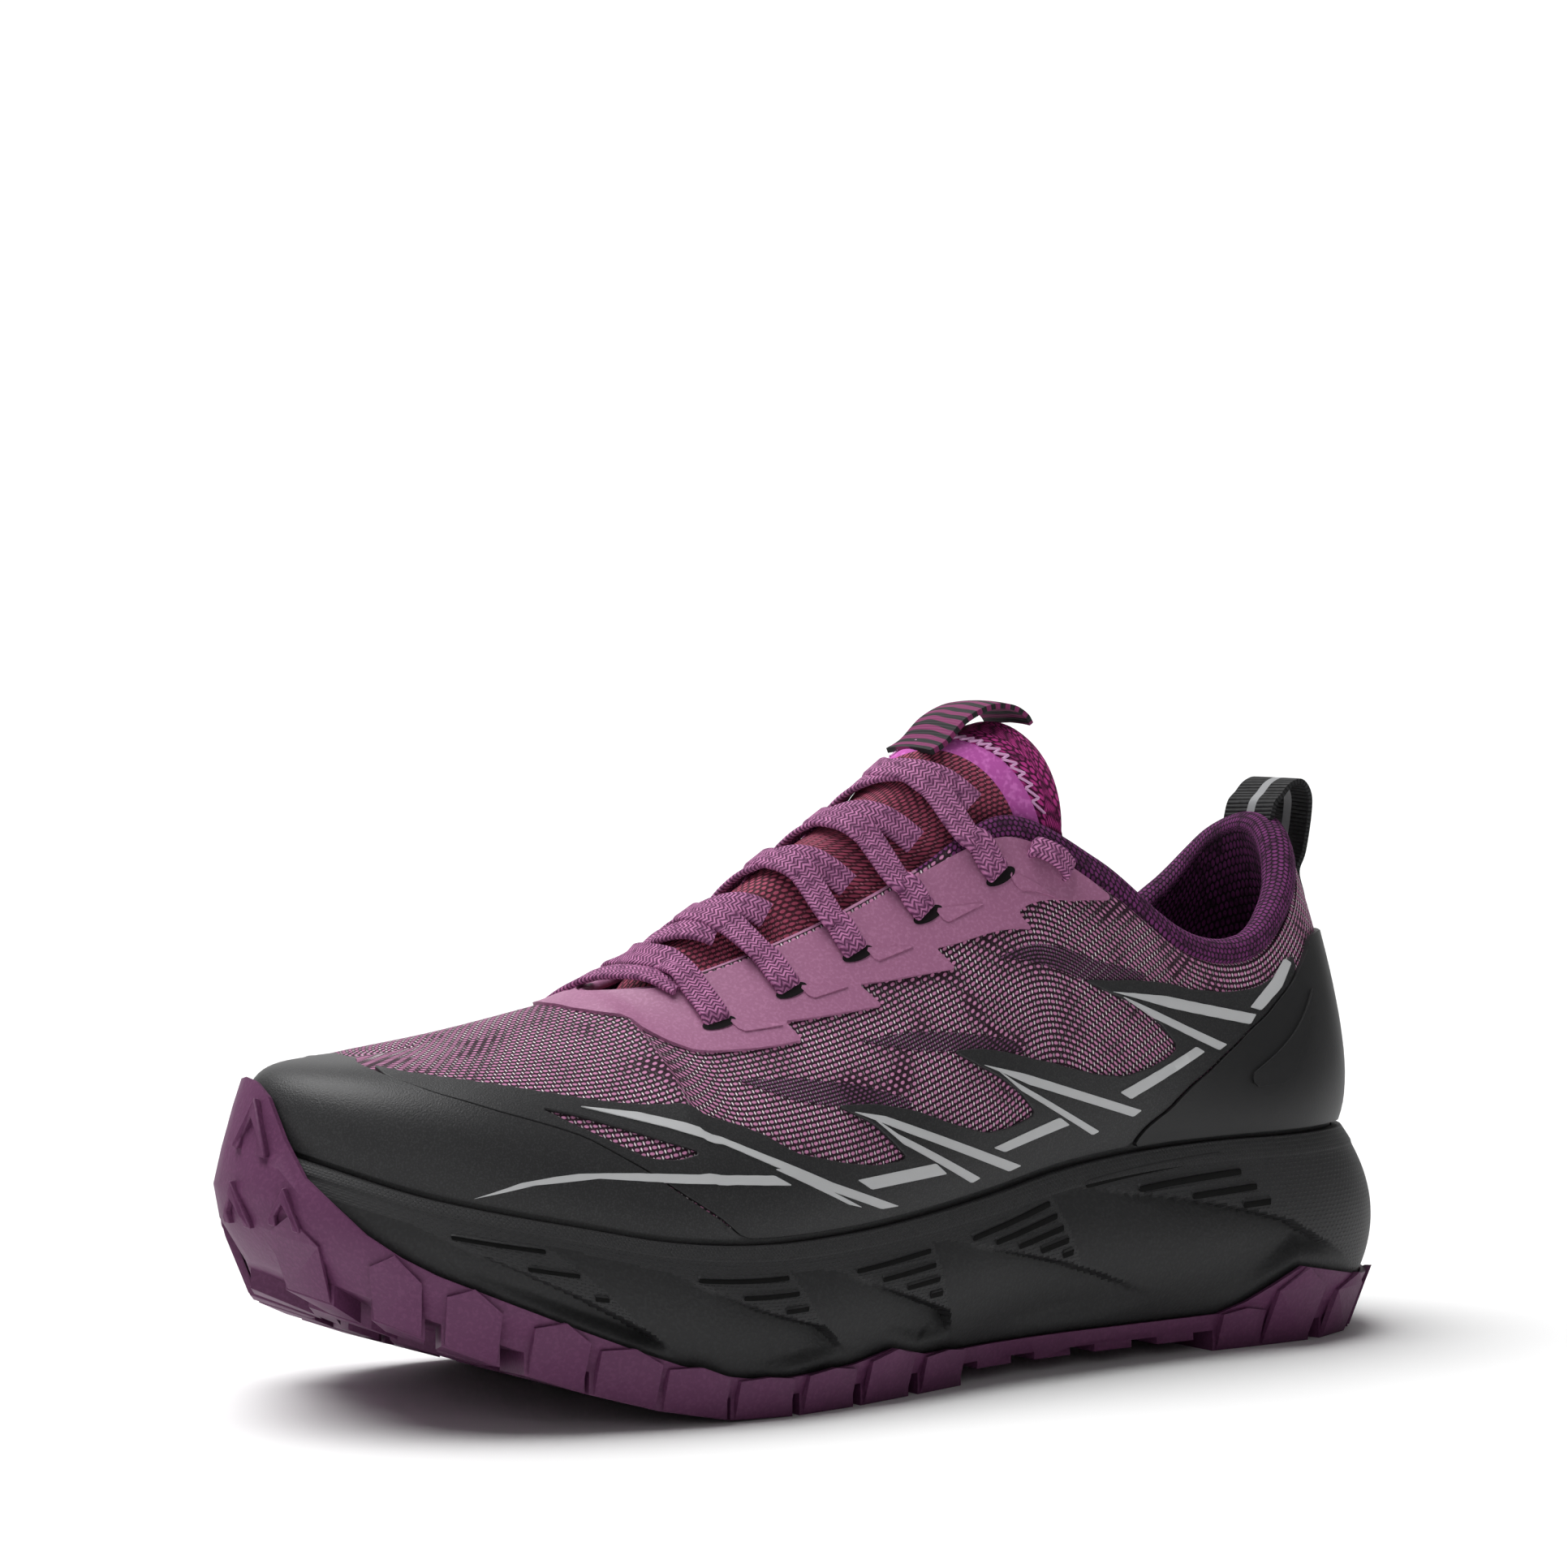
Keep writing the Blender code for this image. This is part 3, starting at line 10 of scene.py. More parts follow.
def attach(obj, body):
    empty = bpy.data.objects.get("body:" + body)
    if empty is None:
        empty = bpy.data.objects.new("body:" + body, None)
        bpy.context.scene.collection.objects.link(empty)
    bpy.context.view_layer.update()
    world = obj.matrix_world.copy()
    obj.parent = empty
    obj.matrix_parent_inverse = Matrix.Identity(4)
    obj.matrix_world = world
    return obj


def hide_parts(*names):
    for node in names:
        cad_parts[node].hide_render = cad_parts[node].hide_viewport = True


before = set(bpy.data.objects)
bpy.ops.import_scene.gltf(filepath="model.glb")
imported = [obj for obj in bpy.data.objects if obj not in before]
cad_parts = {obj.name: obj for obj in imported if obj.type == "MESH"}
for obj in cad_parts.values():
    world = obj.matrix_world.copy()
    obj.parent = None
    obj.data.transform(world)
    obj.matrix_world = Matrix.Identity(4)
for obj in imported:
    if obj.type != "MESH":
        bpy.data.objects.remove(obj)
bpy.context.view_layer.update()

# The sizes, tables and curves of the part's own source, in metres
mm = 0.001
soleLength = 288 * mm
ballWidth = 106 * mm
instepHeight = 117.5 * mm
heelHeight = 117.5 * mm
rimTop = 46 * mm
toeSpring = 33 * mm
heelBevel = 3.5 * mm
wall = 2.4 * mm
collarPad = 7 * mm
gap = 0.3 * mm
cupDepth = 12 * mm
rimLip = 2 * mm
film = 0.8 * mm
toeCapThickness = 1 * mm
sheetLift = 1.7 * gap
plate = 2.2 * mm
lugDepth = 4.5 * mm
wrapGap = 0.5 * mm
finDepth = 3.6 * mm
tongueThickness = 3 * mm
tonguePad = 7 * mm
tongueGap = 0.5 * mm
laceWidth = 6.5 * mm
laceThickness = 1.5 * mm
laceClearance = 0.9 * mm
slotDepth = 1.2 * mm
loopWidth = 16 * mm
heelRadius = 42 * mm
tongueLoopRadius = 60 * mm
sectionColumns = ("along", "swing", "turn", "base_out", "base_in", "belly_out", "belly_in",
                   "rim_out", "rim_in", "rim_z", "edge_out", "edge_in", "top_z",
                   "lean", "low", "tilt", "high", "pad")
sections = (
    (.146, 0, 180, .377, .377, .425, .425, .358, .358, 1.00, .259, .259, .977, 30, .20, 22, .35, 1),
    (.146, 0, 150, .382, .373, .434, .425, .363, .354, 1.00, .255, .255, .940, 28, .21, 20, .35, 1),
    (.146, 0, 120, .377, .363, .434, .415, .368, .354, 1.01, .255, .255, .830, 24, .26, 16, .35, 1),
    (.160, 0, 95, .363, .354, .434, .410, .373, .354, 1.01, .264, .259, .749, 20, .30, 14, .35, 1),
    (.215, 0, 90, .358, .340, .439, .410, .373, .354, 1.01, .269, .259, .770, 15, .30, 15, .35, 1),
    (.292, 0, 90, .358, .311, .439, .392, .377, .344, .99, .245, .236, .906, 10, .35, 18, .35, .9),
    (.368, 0, 90, .363, .292, .443, .377, .387, .340, .94, .189, .184, .996, 8, .33, 22, .35, .4),
    (.444, .005, 90, .382, .302, .458, .382, .410, .344, .86, .151, .151, .906, 6, .34, 33, .35, 0),
    (.521, .009, 90, .429, .340, .486, .406, .443, .368, .80, .142, .142, .826, 5, .34, 38, .36, 0),
    (.597, .009, 90, .476, .382, .519, .439, .476, .401, .765, .127, .127, .762, 5, .34, 45, .38, 0),
    (.674, .005, 90, .500, .410, .538, .462, .500, .425, .76, .094, .094, .711, 5, .33, 55, .34, 0),
    (.743, -.014, 89, .495, .420, .533, .472, .500, .439, .80, 0, 0, .677, 4, .30, 75, .33, 0),
    (.799, -.038, 84, .462, .406, .505, .462, .476, .434, .89, 0, 0, .643, 3, .36, 90, .42, 0),
    (.826, -.057, 62, .420, .370, .467, .415, .439, .392, 1.01, 0, 0, .623, 1, .42, 90, .58, 0),
    (.833, -.066, 32, .380, .294, .432, .341, .408, .317, 1.15, 0, 0, .616, -1, .46, 90, .70, 0),
    (.837, -.071, 0, .334, .334, .389, .389, .365, .365, 1.22, 0, 0, .614, -2, .47, 90, .74, 0),
)
toeRow = len(sections) - 1
loop = 2 * toeRow
throatCloses = .660
throatEnd = .705
crownRadius = 17 * mm
ridgeSlope = .13
bevelShare = .07
springShare = .677
springPower = 1.6
wrapEdge = ((0, .10), (1, .12), (2, .17), (3, .28), (3.9, .035), (5, .03), (7.9, .035),
             (8.5, .15), (9.1, .06), (10, .035), (11, .11), (12, .21), (13, .34), (13.4, .45),
             (13.75, .72), (14, .88), (14.25, 1.05), (14.5, 1.2), (14.75, 1.26), (15, 1.27))
finColumns = ("tip", "top", "low", "end", "grooves")
fins = (
    ((6.23, .92), (4.0, .955), (3.15, .54), (2.1, .24), 4),
    ((7.73, .81), (6.3, .895), (5.98, .43), (4.86, .17), 5),
    ((9.27, .78), (7.95, .825), (7.77, .345), (7.64, .12), 4),
    ((11.1, .775), (9.77, .805), (9.43, .39), (9.05, .13), 3),
    ((13.2, .74), (12.25, .815), (11.34, .315), (10.9, .13), 3),
)
rowPitch = 22 * mm
sidePitch = 34 * mm
upperPitch = 60 * mm
tongueColumns = ("crest", "flare", "under", "pad")
tongue = (
    (5.2, (1.166, -18, 1, 1)),
    (5.6, (1.157, -12, 1, 1)),
    (6, (1.140, 0, 1, .9)),
    (6.5, (1.117, 15, 1, .6)),
    (7, (1.060, 28, 1, .2)),
    (7.5, (.998, 32, 1, 0)),
    (8, (.947, 36, 1, 0)),
    (9, (.835, 45, 1, 0)),
    (9.5, (.782, 50, 1, 0)),
    (9.8, (.738, 60, .97, 0)),
    (10.1, (.678, 72, .91, 0)),
    (10.5, (.615, 80, .83, 0)),
)
hem = .015
counterEdge = ((0, .645), (1, .70), (1.7, .785), (2.2, .745), (2.73, .69), (3.31, .578),
                (3.79, .444), (4.29, .274), (4.62, .145), (4.97, .06), (5.08, hem))
counterHem = ((3, .034), (0, .038))
capEdge = ((10.2, hem), (10.4, .06), (10.75, .13), (11.15, .215), (11.71, .30), (12.43, .365),
            (13, .44), (13.5, .54), (13.95, .66), (14.3, .775), (15, .80))
sideTop = ((13.75, .67), (13.3, .612), (12.5, .533), (11.96, .487), (11.56, .465),
            (11.09, .446), (10.57, .425), (9.98, .405), (9.74, .364), (9.47, .287), (8.91, .223),
            (8.5, .19), (8.1, .184), (8.46, .327), (8.83, .42), (8.39, .389), (7.94, .33),
            (7.48, .245), (7.06, .182), (6.72, .17), (6.36, .178), (6.57, .264), (6.82, .334),
            (7.05, .391), (7.29, .454), (6.95, .428), (6.69, .391), (6.32, .332), (5.9, .285),
            (5.54, .257), (5.18, .251), (4.85, .291), (4.59, .357), (4.43, .424), (4.66, .492),
            (4.92, .52), (5.22, .529), (5.55, .548), (5.19, .576), (4.78, .629), (4.34, .711),
            (3.88, .764), (3.36, .785), (2.98, .79), (2.68, .798), (2.2, .815))
sideWindow = ((12.07, .41), (11.68, .39), (11.09, .345), (10.66, .295), (10.5, .27),
               (10.77, .255), (11.09, .262), (11.47, .31), (11.8, .355))
eyestayLow = ((5, .885), (5.47, .803), (6.02, .755), (6.15, .738), (6.03, .685), (6.5, .72),
               (7.11, .761), (6.97, .678), (7.53, .722), (8.04, .767), (7.89, .673), (8.44, .711),
               (8.96, .745), (8.88, .664), (9.38, .675), (9.99, .698), (10.2, .72),
               (10.45, .765), (10.62, .82), (10.78, .89), (10.86, 1))
eyestayRear = ((6.9, .985), (6.4, .962), (5.9, .945), (5.4, .93), (5, .905))
throatMargin = .015
laces = (
    (9.59, .804, 9.72, 8.86, 9.98),
    (8.75, .846, 9.15, 8.40, 9.60),
    (7.93, .869, 8.28, 7.58, 8.95),
    (7.08, .875, 7.60, 6.77, 8.30),
    (6.25, .861, 6.88, 6.15, 7.75),
)
frontRun = (9.6, 9.6, .28)
runEnds = (.45, .5, .64, .8, .8, .8)
topHoles = ((5.80, .925), (5.47, .895))
heelLoopRun = ((.026, .915), (.0205, .985), (.0205, 1.027), (.029, 1.052), (.041, 1.045),
                 (.050, 1.025), (.0575, 1.0075))
heelLoopSeam = (.68, .76, .83)
tongueLoopRun = ((.408, 1.1255), (.394, 1.143), (.375, 1.183), (.351, 1.208), (.330, 1.208),
                   (.3165, 1.193), (.311, 1.176))


# The value of a column at row k of the loop; the inner side counts on past the toe.
def entry(name, k):
    k = k % loop
    inner = k > toeRow
    row = sections[loop - k if inner else k]
    if name + "_in" in sectionColumns:
        name += "_in" if inner else "_out"
    return row[sectionColumns.index(name)]


# The turn of row k, running on from 180 at the heel to -180 without a jump.
def turnEntry(k):
    if k < 0:
        return 360 - turnEntry(-k)
    if k > toeRow:
        return -turnEntry(loop - k)
    return sections[k][sectionColumns.index("turn")]


# A column at place u along the loop, on a smooth curve through its rows.
@lru_cache(maxsize=None)
def read(name, u):
    k = math.floor(u)
    t = u - k
    get = turnEntry if name == "turn" else (lambda i: entry(name, i))
    a, b, c, d = (get(k + j) for j in (-1, 0, 1, 2))
    return b + .5 * t * (c - a + t * (2 * a - 5 * b + 4 * c - d + t * (3 * (b - c) + d - a)))


def smooth(t):
    t = min(max(t, 0), 1)
    return t * t * (3 - 2 * t)


# A value from a table of (place, value), in straight runs.
def alongTable(table, u):
    for (u0, a), (u1, b) in zip(table, table[1:]):
        if u <= u1:
            return a + (b - a) * (u - u0) / (u1 - u0)
    return table[-1][1]


# A named column of a table of (place, values), on a smooth curve through its rows.
def curveTable(table, columns, name, u):
    i = columns.index(name)
    rows = [(place, values[i]) for place, values in table]
    k = max(0, min(len(rows) - 2, sum(u >= r[0] for r in rows) - 1))

    def slope(j):
        a, b = rows[max(j - 1, 0)], rows[min(j + 1, len(rows) - 1)]
        return (b[1] - a[1]) / (b[0] - a[0])

    (u0, a), (u1, b) = rows[k], rows[k + 1]
    h = u1 - u0
    t = (u - u0) / h
    return (a * (1 + 2 * t) * (1 - t) ** 2 + b * t * t * (3 - 2 * t)
            + h * t * (1 - t) * (slope(k) * (1 - t) - slope(k + 1) * t))


# The place on the outer side that mirrors u, from 0 at the heel to toeRow.
def oneSide(u):
    u = u % loop
    return min(u, loop - u)


# A point of the half plane at u.
def place(u, reach, height):
    angle = math.radians(read("turn", u))
    return Vector((read("along", u) * soleLength + reach * math.cos(angle),
                   read("swing", u) * ballWidth + reach * math.sin(angle), height))


# Height of the lugs' underside at x from the heel's back.
def ground(x):
    bevelEnd = bevelShare * soleLength
    springStart = springShare * soleLength
    if x < bevelEnd:
        return heelBevel * ((bevelEnd - x) / bevelEnd) ** 2
    if x > springStart:
        return toeSpring * ((x - springStart) / (soleLength - springStart)) ** springPower
    return 0


def baseReach(u):
    return read("base", u) * ballWidth


# Height of the midsole's bottom edge.
def baseHeight(u):
    return ground(place(u, baseReach(u), 0).x) + lugDepth + plate + gap


def rimHeight(u):
    return read("rim_z", u) * rimTop


def rimReach(u):
    return read("rim", u) * ballWidth


# A point of the midsole's side: q is 0 at its bottom edge and 1 at the rim.
def sidePoint(u, q, inward=0, up=0):
    base, belly, rim = (read(name, u) * ballWidth for name in ("base", "belly", "rim"))
    reach = base * (1 - q) * (1 - 2 * q) + 4 * belly * q * (1 - q) + rim * q * (2 * q - 1)
    low = baseHeight(u)
    return place(u, reach - inward, low + q * (rimHeight(u) - low) + up)


def biteReach(u):
    return rimReach(u) - rimLip


def biteHeight(u):
    return rimHeight(u) + gap


# 1 where the throat is open, falling on an ellipse to 0 where its sides meet.
@lru_cache(maxsize=None)
def throatClosing(u):
    share = (read("along", u) - throatCloses) / (throatEnd - throatCloses)
    if share <= 0:
        return 1
    return math.sqrt(1 - share * share) if share < 1 else 0


# Place of the column where the throat's sides meet.
@lru_cache(maxsize=None)
def throatEndPlace():
    low, high = 9.0, 12.0
    for _ in range(50):
        mid = (low + high) / 2
        if read("along", mid) < throatEnd:
            low = mid
        else:
            high = mid
    return round(low, 6)


# Four control points (reach, height) of the upper's section at u.
@lru_cache(maxsize=None)
def upperCurve(u):
    openEdge = max(read("edge", u), 0) * ballWidth
    closing = throatClosing(u)
    edge = openEdge * closing
    heel = smooth((5 - oneSide(u)) / 2)
    top = read("top_z", u) * (instepHeight + heel * (heelHeight - instepHeight))
    top += (openEdge ** 2 - edge ** 2) / (2 * crownRadius)
    start = (biteReach(u), biteHeight(u))
    length = math.hypot(edge - start[0], top - start[1])
    lean = math.radians(read("lean", u))
    tilt = math.radians(90 - (90 - read("tilt", u)) * closing)
    slope = ridgeSlope * math.cos(math.radians(read("turn", u))) * (1 - closing)
    low = read("low", u) * length
    high = read("high", u) * length
    return (start, (start[0] + low * math.sin(lean), start[1] + low * math.cos(lean)),
            (edge + high * math.sin(tilt), top - high * (math.cos(tilt) + slope)), (edge, top))


# A point of the upper's outer face: v is 0 at the sole and 1 at the top edge or the
# ridge; past 1 it goes down the other side.
@lru_cache(maxsize=None)
def upperPoint(u, v):
    if v > 1:
        u, v = loop - u, 2 - v
    p = upperCurve(u)
    w = ((1 - v) ** 3, 3 * v * (1 - v) ** 2, 3 * v * v * (1 - v), v ** 3)
    return place(u, sum(a * b[0] for a, b in zip(w, p)), sum(a * b[1] for a, b in zip(w, p)))


# The outward direction there.
@lru_cache(maxsize=None)
def upperNormal(u, v):
    step = .004
    closed = throatClosing(u) == 0
    vHigh = v + step if closed or v + step <= 1 or v > 1 else v
    vLow = v - step if closed or v - step >= 1 or v < 1 or v == 1 else v
    if v < step:
        vLow = v
    across = upperPoint(u, vHigh) - upperPoint(u, vLow)
    forward = upperPoint(u + step, v) - upperPoint(u - step, v)
    normal = across.cross(forward)
    if v > 1:
        normal = across.cross(-forward) if u % loop > toeRow else normal
    if normal.length < 1e-15:
        normal = upperNormal(u, v - .03)
    return normal.normalized()


# Thickness of the upper's wall: plain, growing to the collar's padding.
def wallAt(u, v):
    return wall + (collarPad - wall) * max(read("pad", u), 0) * smooth((v - .45) / .45)


# A point off the upper's outer face.
def skin(u, v, lift):
    return upperPoint(u, v) + upperNormal(u, v) * lift


def inside(point, polygon):
    hit = False
    for a, b in zip(polygon, polygon[1:] + polygon[:1]):
        if (a.y > point.y) != (b.y > point.y):
            if point.x < a.x + (point.y - a.y) / (b.y - a.y) * (b.x - a.x):
                hit = not hit
    return hit


# Distance from a point to a line of several runs, and how far along it that is.
def nearest(point, line):
    total = sum((b - a).length for a, b in zip(line, line[1:]))
    best, run = (1e9, 0), 0
    for a, b in zip(line, line[1:]):
        length = (b - a).length
        t = min(max((point - a).dot(b - a) / length ** 2, 0), 1)
        best = min(best, ((a + (b - a) * t - point).length, (run + t * length) / total))
        run += length
    return best


# Points along straight runs, no further apart than the spacing.
def walk(points, spacing, closed=False):
    out = []
    ends = points[1:] + points[:1] if closed else points[1:]
    for a, b in zip(points, ends):
        n = max(1, math.ceil((b - a).length / spacing))
        out += [a + (b - a) * (i / n) for i in range(n)]
    return out if closed else out + [points[-1]]


def tongueValue(name, u):
    return curveTable(tongue, tongueColumns, name, oneSide(u))


# A point of the tongue's outer face where the upper covers it.
def tongueSide(u, share):
    under = min(tongueValue("under", u), 1)
    v = under * share
    clear = tongueGap + (1 - under) * 9 * tongueThickness
    return skin(u, v, -wallAt(u, v) - clear)


# A point of the tongue's outer face between the throat's sides: a is 1 at the outer
# side, 0 at the crest and -1 at the inner side.
def tongueArch(u, a):
    outer, inner = tongueSide(u, 1), tongueSide(loop - u, 1)
    crest = (outer + inner) / 2
    crest.z = tongueValue("crest", u) * instepHeight
    start, side = (outer, 1) if a >= 0 else (inner, -1)
    flare = math.radians(tongueValue("flare", u))
    rise = .5 * (crest - start).length
    first = start + Vector((0, -side * math.sin(flare), math.cos(flare))) * rise
    second = crest + Vector((0, side * .62 * abs(start.y - crest.y), 0))
    t = 1 - abs(a)
    return (start * (1 - t) ** 3 + first * 3 * t * (1 - t) ** 2
            + second * 3 * t * t * (1 - t) + crest * t ** 3)


# A point off the tongue's outer face between the throat's sides, and its up direction.
def tongueSkin(u, a, lift):
    step = .01
    low, high = max(a - step, -1), min(a + step, 1)
    up = (tongueArch(u, high) - tongueArch(u, low)).cross(
        tongueArch(u + step, a) - tongueArch(u - step, a)).normalized()
    up = up if up.z > 0 else -up
    return tongueArch(u, a) + up * lift, up


# An outline on the outer side, or its mirror image on the inner one.
def sided(ring, inner):
    return [(loop - u, v) if inner else (u, v) for u, v in ring]


# A half outline and its mirror image about a middle row.
def mirrored(edge, middle):
    return list(edge) + [(2 * middle - u, v) for u, v in edge[::-1] if u != middle]


# A place on the upper as lengths, for outlines.
def flat(u, v):
    return Vector((u * rowPitch, v * upperPitch))


# A slot's middle on the upper, the outward direction, and the lace's direction there.
def slotFrame(u, v, toward):
    base, up = upperPoint(u, v), upperNormal(u, v)
    run = toward - base
    run = (run - up * run.dot(up)).normalized()
    return base, up, run


# Height of a lace's middle off what it lies on; layer 1 crosses and joins layer 0.
def laceLift(layer):
    return laceClearance + (.5 + .4 * layer) * laceThickness


# The end of a lace that goes down into a slot.
def slotEnd(base, up, run, lift):
    return [(base - up * slotDepth, -run), (base + up * (lift - laceThickness), .3 * up - run),
            (base + up * (lift - .3 * laceThickness) + run * .5 * laceThickness, up - run)]


# The lace's bars: clearance over the film, where they pass the throat's edge, how far they
# stand off the cloth there in lace thicknesses, and their places over the tongue
bar = {"clear": .0002, "edge": .35, "middle": .5, "run": 1.7, "rim": .4, "over": (.6, .42, .22)}


# A bar of the lace from its slot to near the tongue's crest, as (point, up) pairs.
def barHalf(slot, height, crest, inner):
    def side(u):
        return loop - u if inner else u

    lift = film + bar["clear"] + laceThickness / 2
    edge = slot + (crest - slot) * bar["edge"]
    middle = height + (1 - height) * bar["middle"]
    base, up, run = slotFrame(side(slot), height, skin(side(edge), .98, lift))
    path = slotEnd(base, up, run, lift)
    path.append((base + up * lift + run * bar["run"] * laceThickness, up))
    path.append((skin(side((slot + edge) / 2), middle + .03, lift), upperNormal(side(slot), middle)))
    edgeUp = (upperNormal(side(edge), .98) + Vector((0, 0, .6))).normalized()
    rim = skin(side(edge), 1, lift) + Vector((0, 0, bar["rim"] * laceThickness))
    path.append((rim, edgeUp))
    top = tongueSkin(crest, 0, laceLift(1))[0].z
    for a in bar["over"]:
        u = crest + (edge - crest) * a
        point, out = tongueSkin(u, -a if inner else a, laceLift(1))
        point.z = max(point.z, top + (rim.z - top) * a * a)
        path.append((point, out))
    return path


# The lace's bars over the tongue and the runs below them, from the front to the top.
def lacePaths():
    runs = [frontRun] + [(*row[3:], 0) for row in laces]
    for i, (out, inn, bow) in enumerate(runs):
        if i > 0:
            slot, height, crest = laces[i - 1][:3]
            outer, inner = (barHalf(slot, height, crest, inner) for inner in (False, True))
            yield outer + [tongueSkin(crest, 0, laceLift(1))] + inner[::-1]
        end = runEnds[i]
        yield [tongueSkin((out + inn + (out - inn) * a) / 2 + bow * (1 - (a / end) ** 2), a,
                           laceLift(0)) for a in (end * k / 4 for k in range(4, -5, -1))]


# Frames of the two top holes, each with the direction to the other.
def topFrames(inner):
    holes = sided(topHoles, inner)
    return [slotFrame(*hole, upperPoint(*other)) for hole, other in zip(holes, holes[::-1])]


# Height of the toe bumper's inner face off the upper: the toe cap lies between.
def capLift():
    return gap + toeCapThickness + 2 * gap


# A point of the rubber's wrap: up the midsole's side, then up the toe cap.
def wrapPoint(u, s, outward):
    if s <= 1:
        return sidePoint(u, s, -outward - wrapGap * smooth(s / .2) - gap * 1.2)
    return skin(u, (s - 1), capLift() + outward)


# Place and height share as lengths, for distances on the midsole's side.
def metric(u, q):
    return Vector((u * rowPitch, q * sidePitch))


# Each fin with its named corners, its step line, the crest ahead and its band.
def finParts():
    parts = [dict(zip(finColumns, row)) for row in fins]
    for fin, ahead in zip(parts, parts[1:] + [None]):
        fin["step"] = [metric(*fin[k]) for k in ("tip", "low", "end")]
        if ahead:
            fin["crest"] = [metric(*ahead[k]) for k in ("top", "low", "end")]
        else:
            fin["crest"] = [metric(toeRow, fin["tip"][1]), metric(toeRow, 0)]
        below = [metric(fin["end"][0], -.1), Vector((fin["crest"][-1].x, metric(0, -.1).y))]
        fin["band"] = fin["step"] + below + fin["crest"][::-1]
    return parts


# Depth of the step under a fin: none at its tip, full at its low corner.
def stepDepth(fin, share):
    lengths = [(b - a).length for a, b in zip(fin["step"], fin["step"][1:])]
    corner = lengths[0] / sum(lengths)
    fade = share / corner if share < corner else (1 - share) / (1 - corner)
    return finDepth * smooth(fade)


# How far the smooth band under a fin lies inside the side's plain face.
def bandDepth(fin, point):
    toStep, share = nearest(point, fin["step"])
    toCrest = nearest(point, fin["crest"])[0]
    near = toCrest / max(toStep + toCrest, 1e-9)
    u, q = point.x / rowPitch, point.y / sidePitch
    clear = smooth((q - alongTable(wrapEdge, u) - .03) / .15)
    return stepDepth(fin, share) * near ** 1.6 * clear


# Centre lines of a fin's grooves: along its top edge, ever shorter to its low corner.
def grooveLines(fin):
    tip, top, low = (metric(*fin[k]) for k in ("tip", "top", "low"))
    for k in range(fin["grooves"]):
        share = .08 + k * .84 / fin["grooves"]
        front = tip + (low - tip) * share
        back = top + (low - top) * share
        inset = (front - back).normalized() * 1.6 * mm
        yield front - inset * 2, back + inset


# From the sections' own frame to the model's
modelShift = Vector((-.141201, -.001969, 0))


# Camera: turned, not shifted, so that the shoe sits low in the picture as in the photograph
cameraFit = {"turn": .631253, "rise": .101629, "roll": .005933, "distance": 1.0,
             "target": Vector((.145, 0, .060)), "pixels": 5690.9, "width": 1932,
             "across": 26.75, "down": 370.85}


def addCamera(c):
    back = Vector((math.sin(c["turn"]) * math.cos(c["rise"]),
                   math.cos(c["turn"]) * math.cos(c["rise"]), math.sin(c["rise"])))
    right = Vector((0, 0, 1)).cross(back).normalized()
    up = back.cross(right)
    right, up = (right * math.cos(c["roll"]) + up * math.sin(c["roll"]),
                 up * math.cos(c["roll"]) - right * math.sin(c["roll"]))
    drop, turn = math.atan(c["down"] / c["pixels"]), math.atan(c["across"] / c["pixels"])
    look = -back * math.cos(drop) + up * math.sin(drop)
    look = look * math.cos(turn) - right * math.sin(turn)
    right = look.cross(up).normalized()
    up = right.cross(look)
    data = bpy.data.cameras.new("camera")
    data.sensor_width = 36
    data.lens = c["pixels"] / c["width"] * 36
    made = bpy.data.objects.new("camera", data)
    bpy.context.collection.objects.link(made)
    turned = Matrix((right, up, -look)).transposed().to_4x4()
    made.matrix_world = Matrix.Translation(c["target"] + modelShift + back * c["distance"]) @ turned
    bpy.context.scene.camera = made


addCamera(cameraFit)


# Materials

def linear(hexColour):
    parts = [int(hexColour[i:i + 2], 16) / 255 for i in (0, 2, 4)]
    return [c / 12.92 if c <= .04045 else ((c + .055) / 1.055) ** 2.4 for c in parts] + [1]


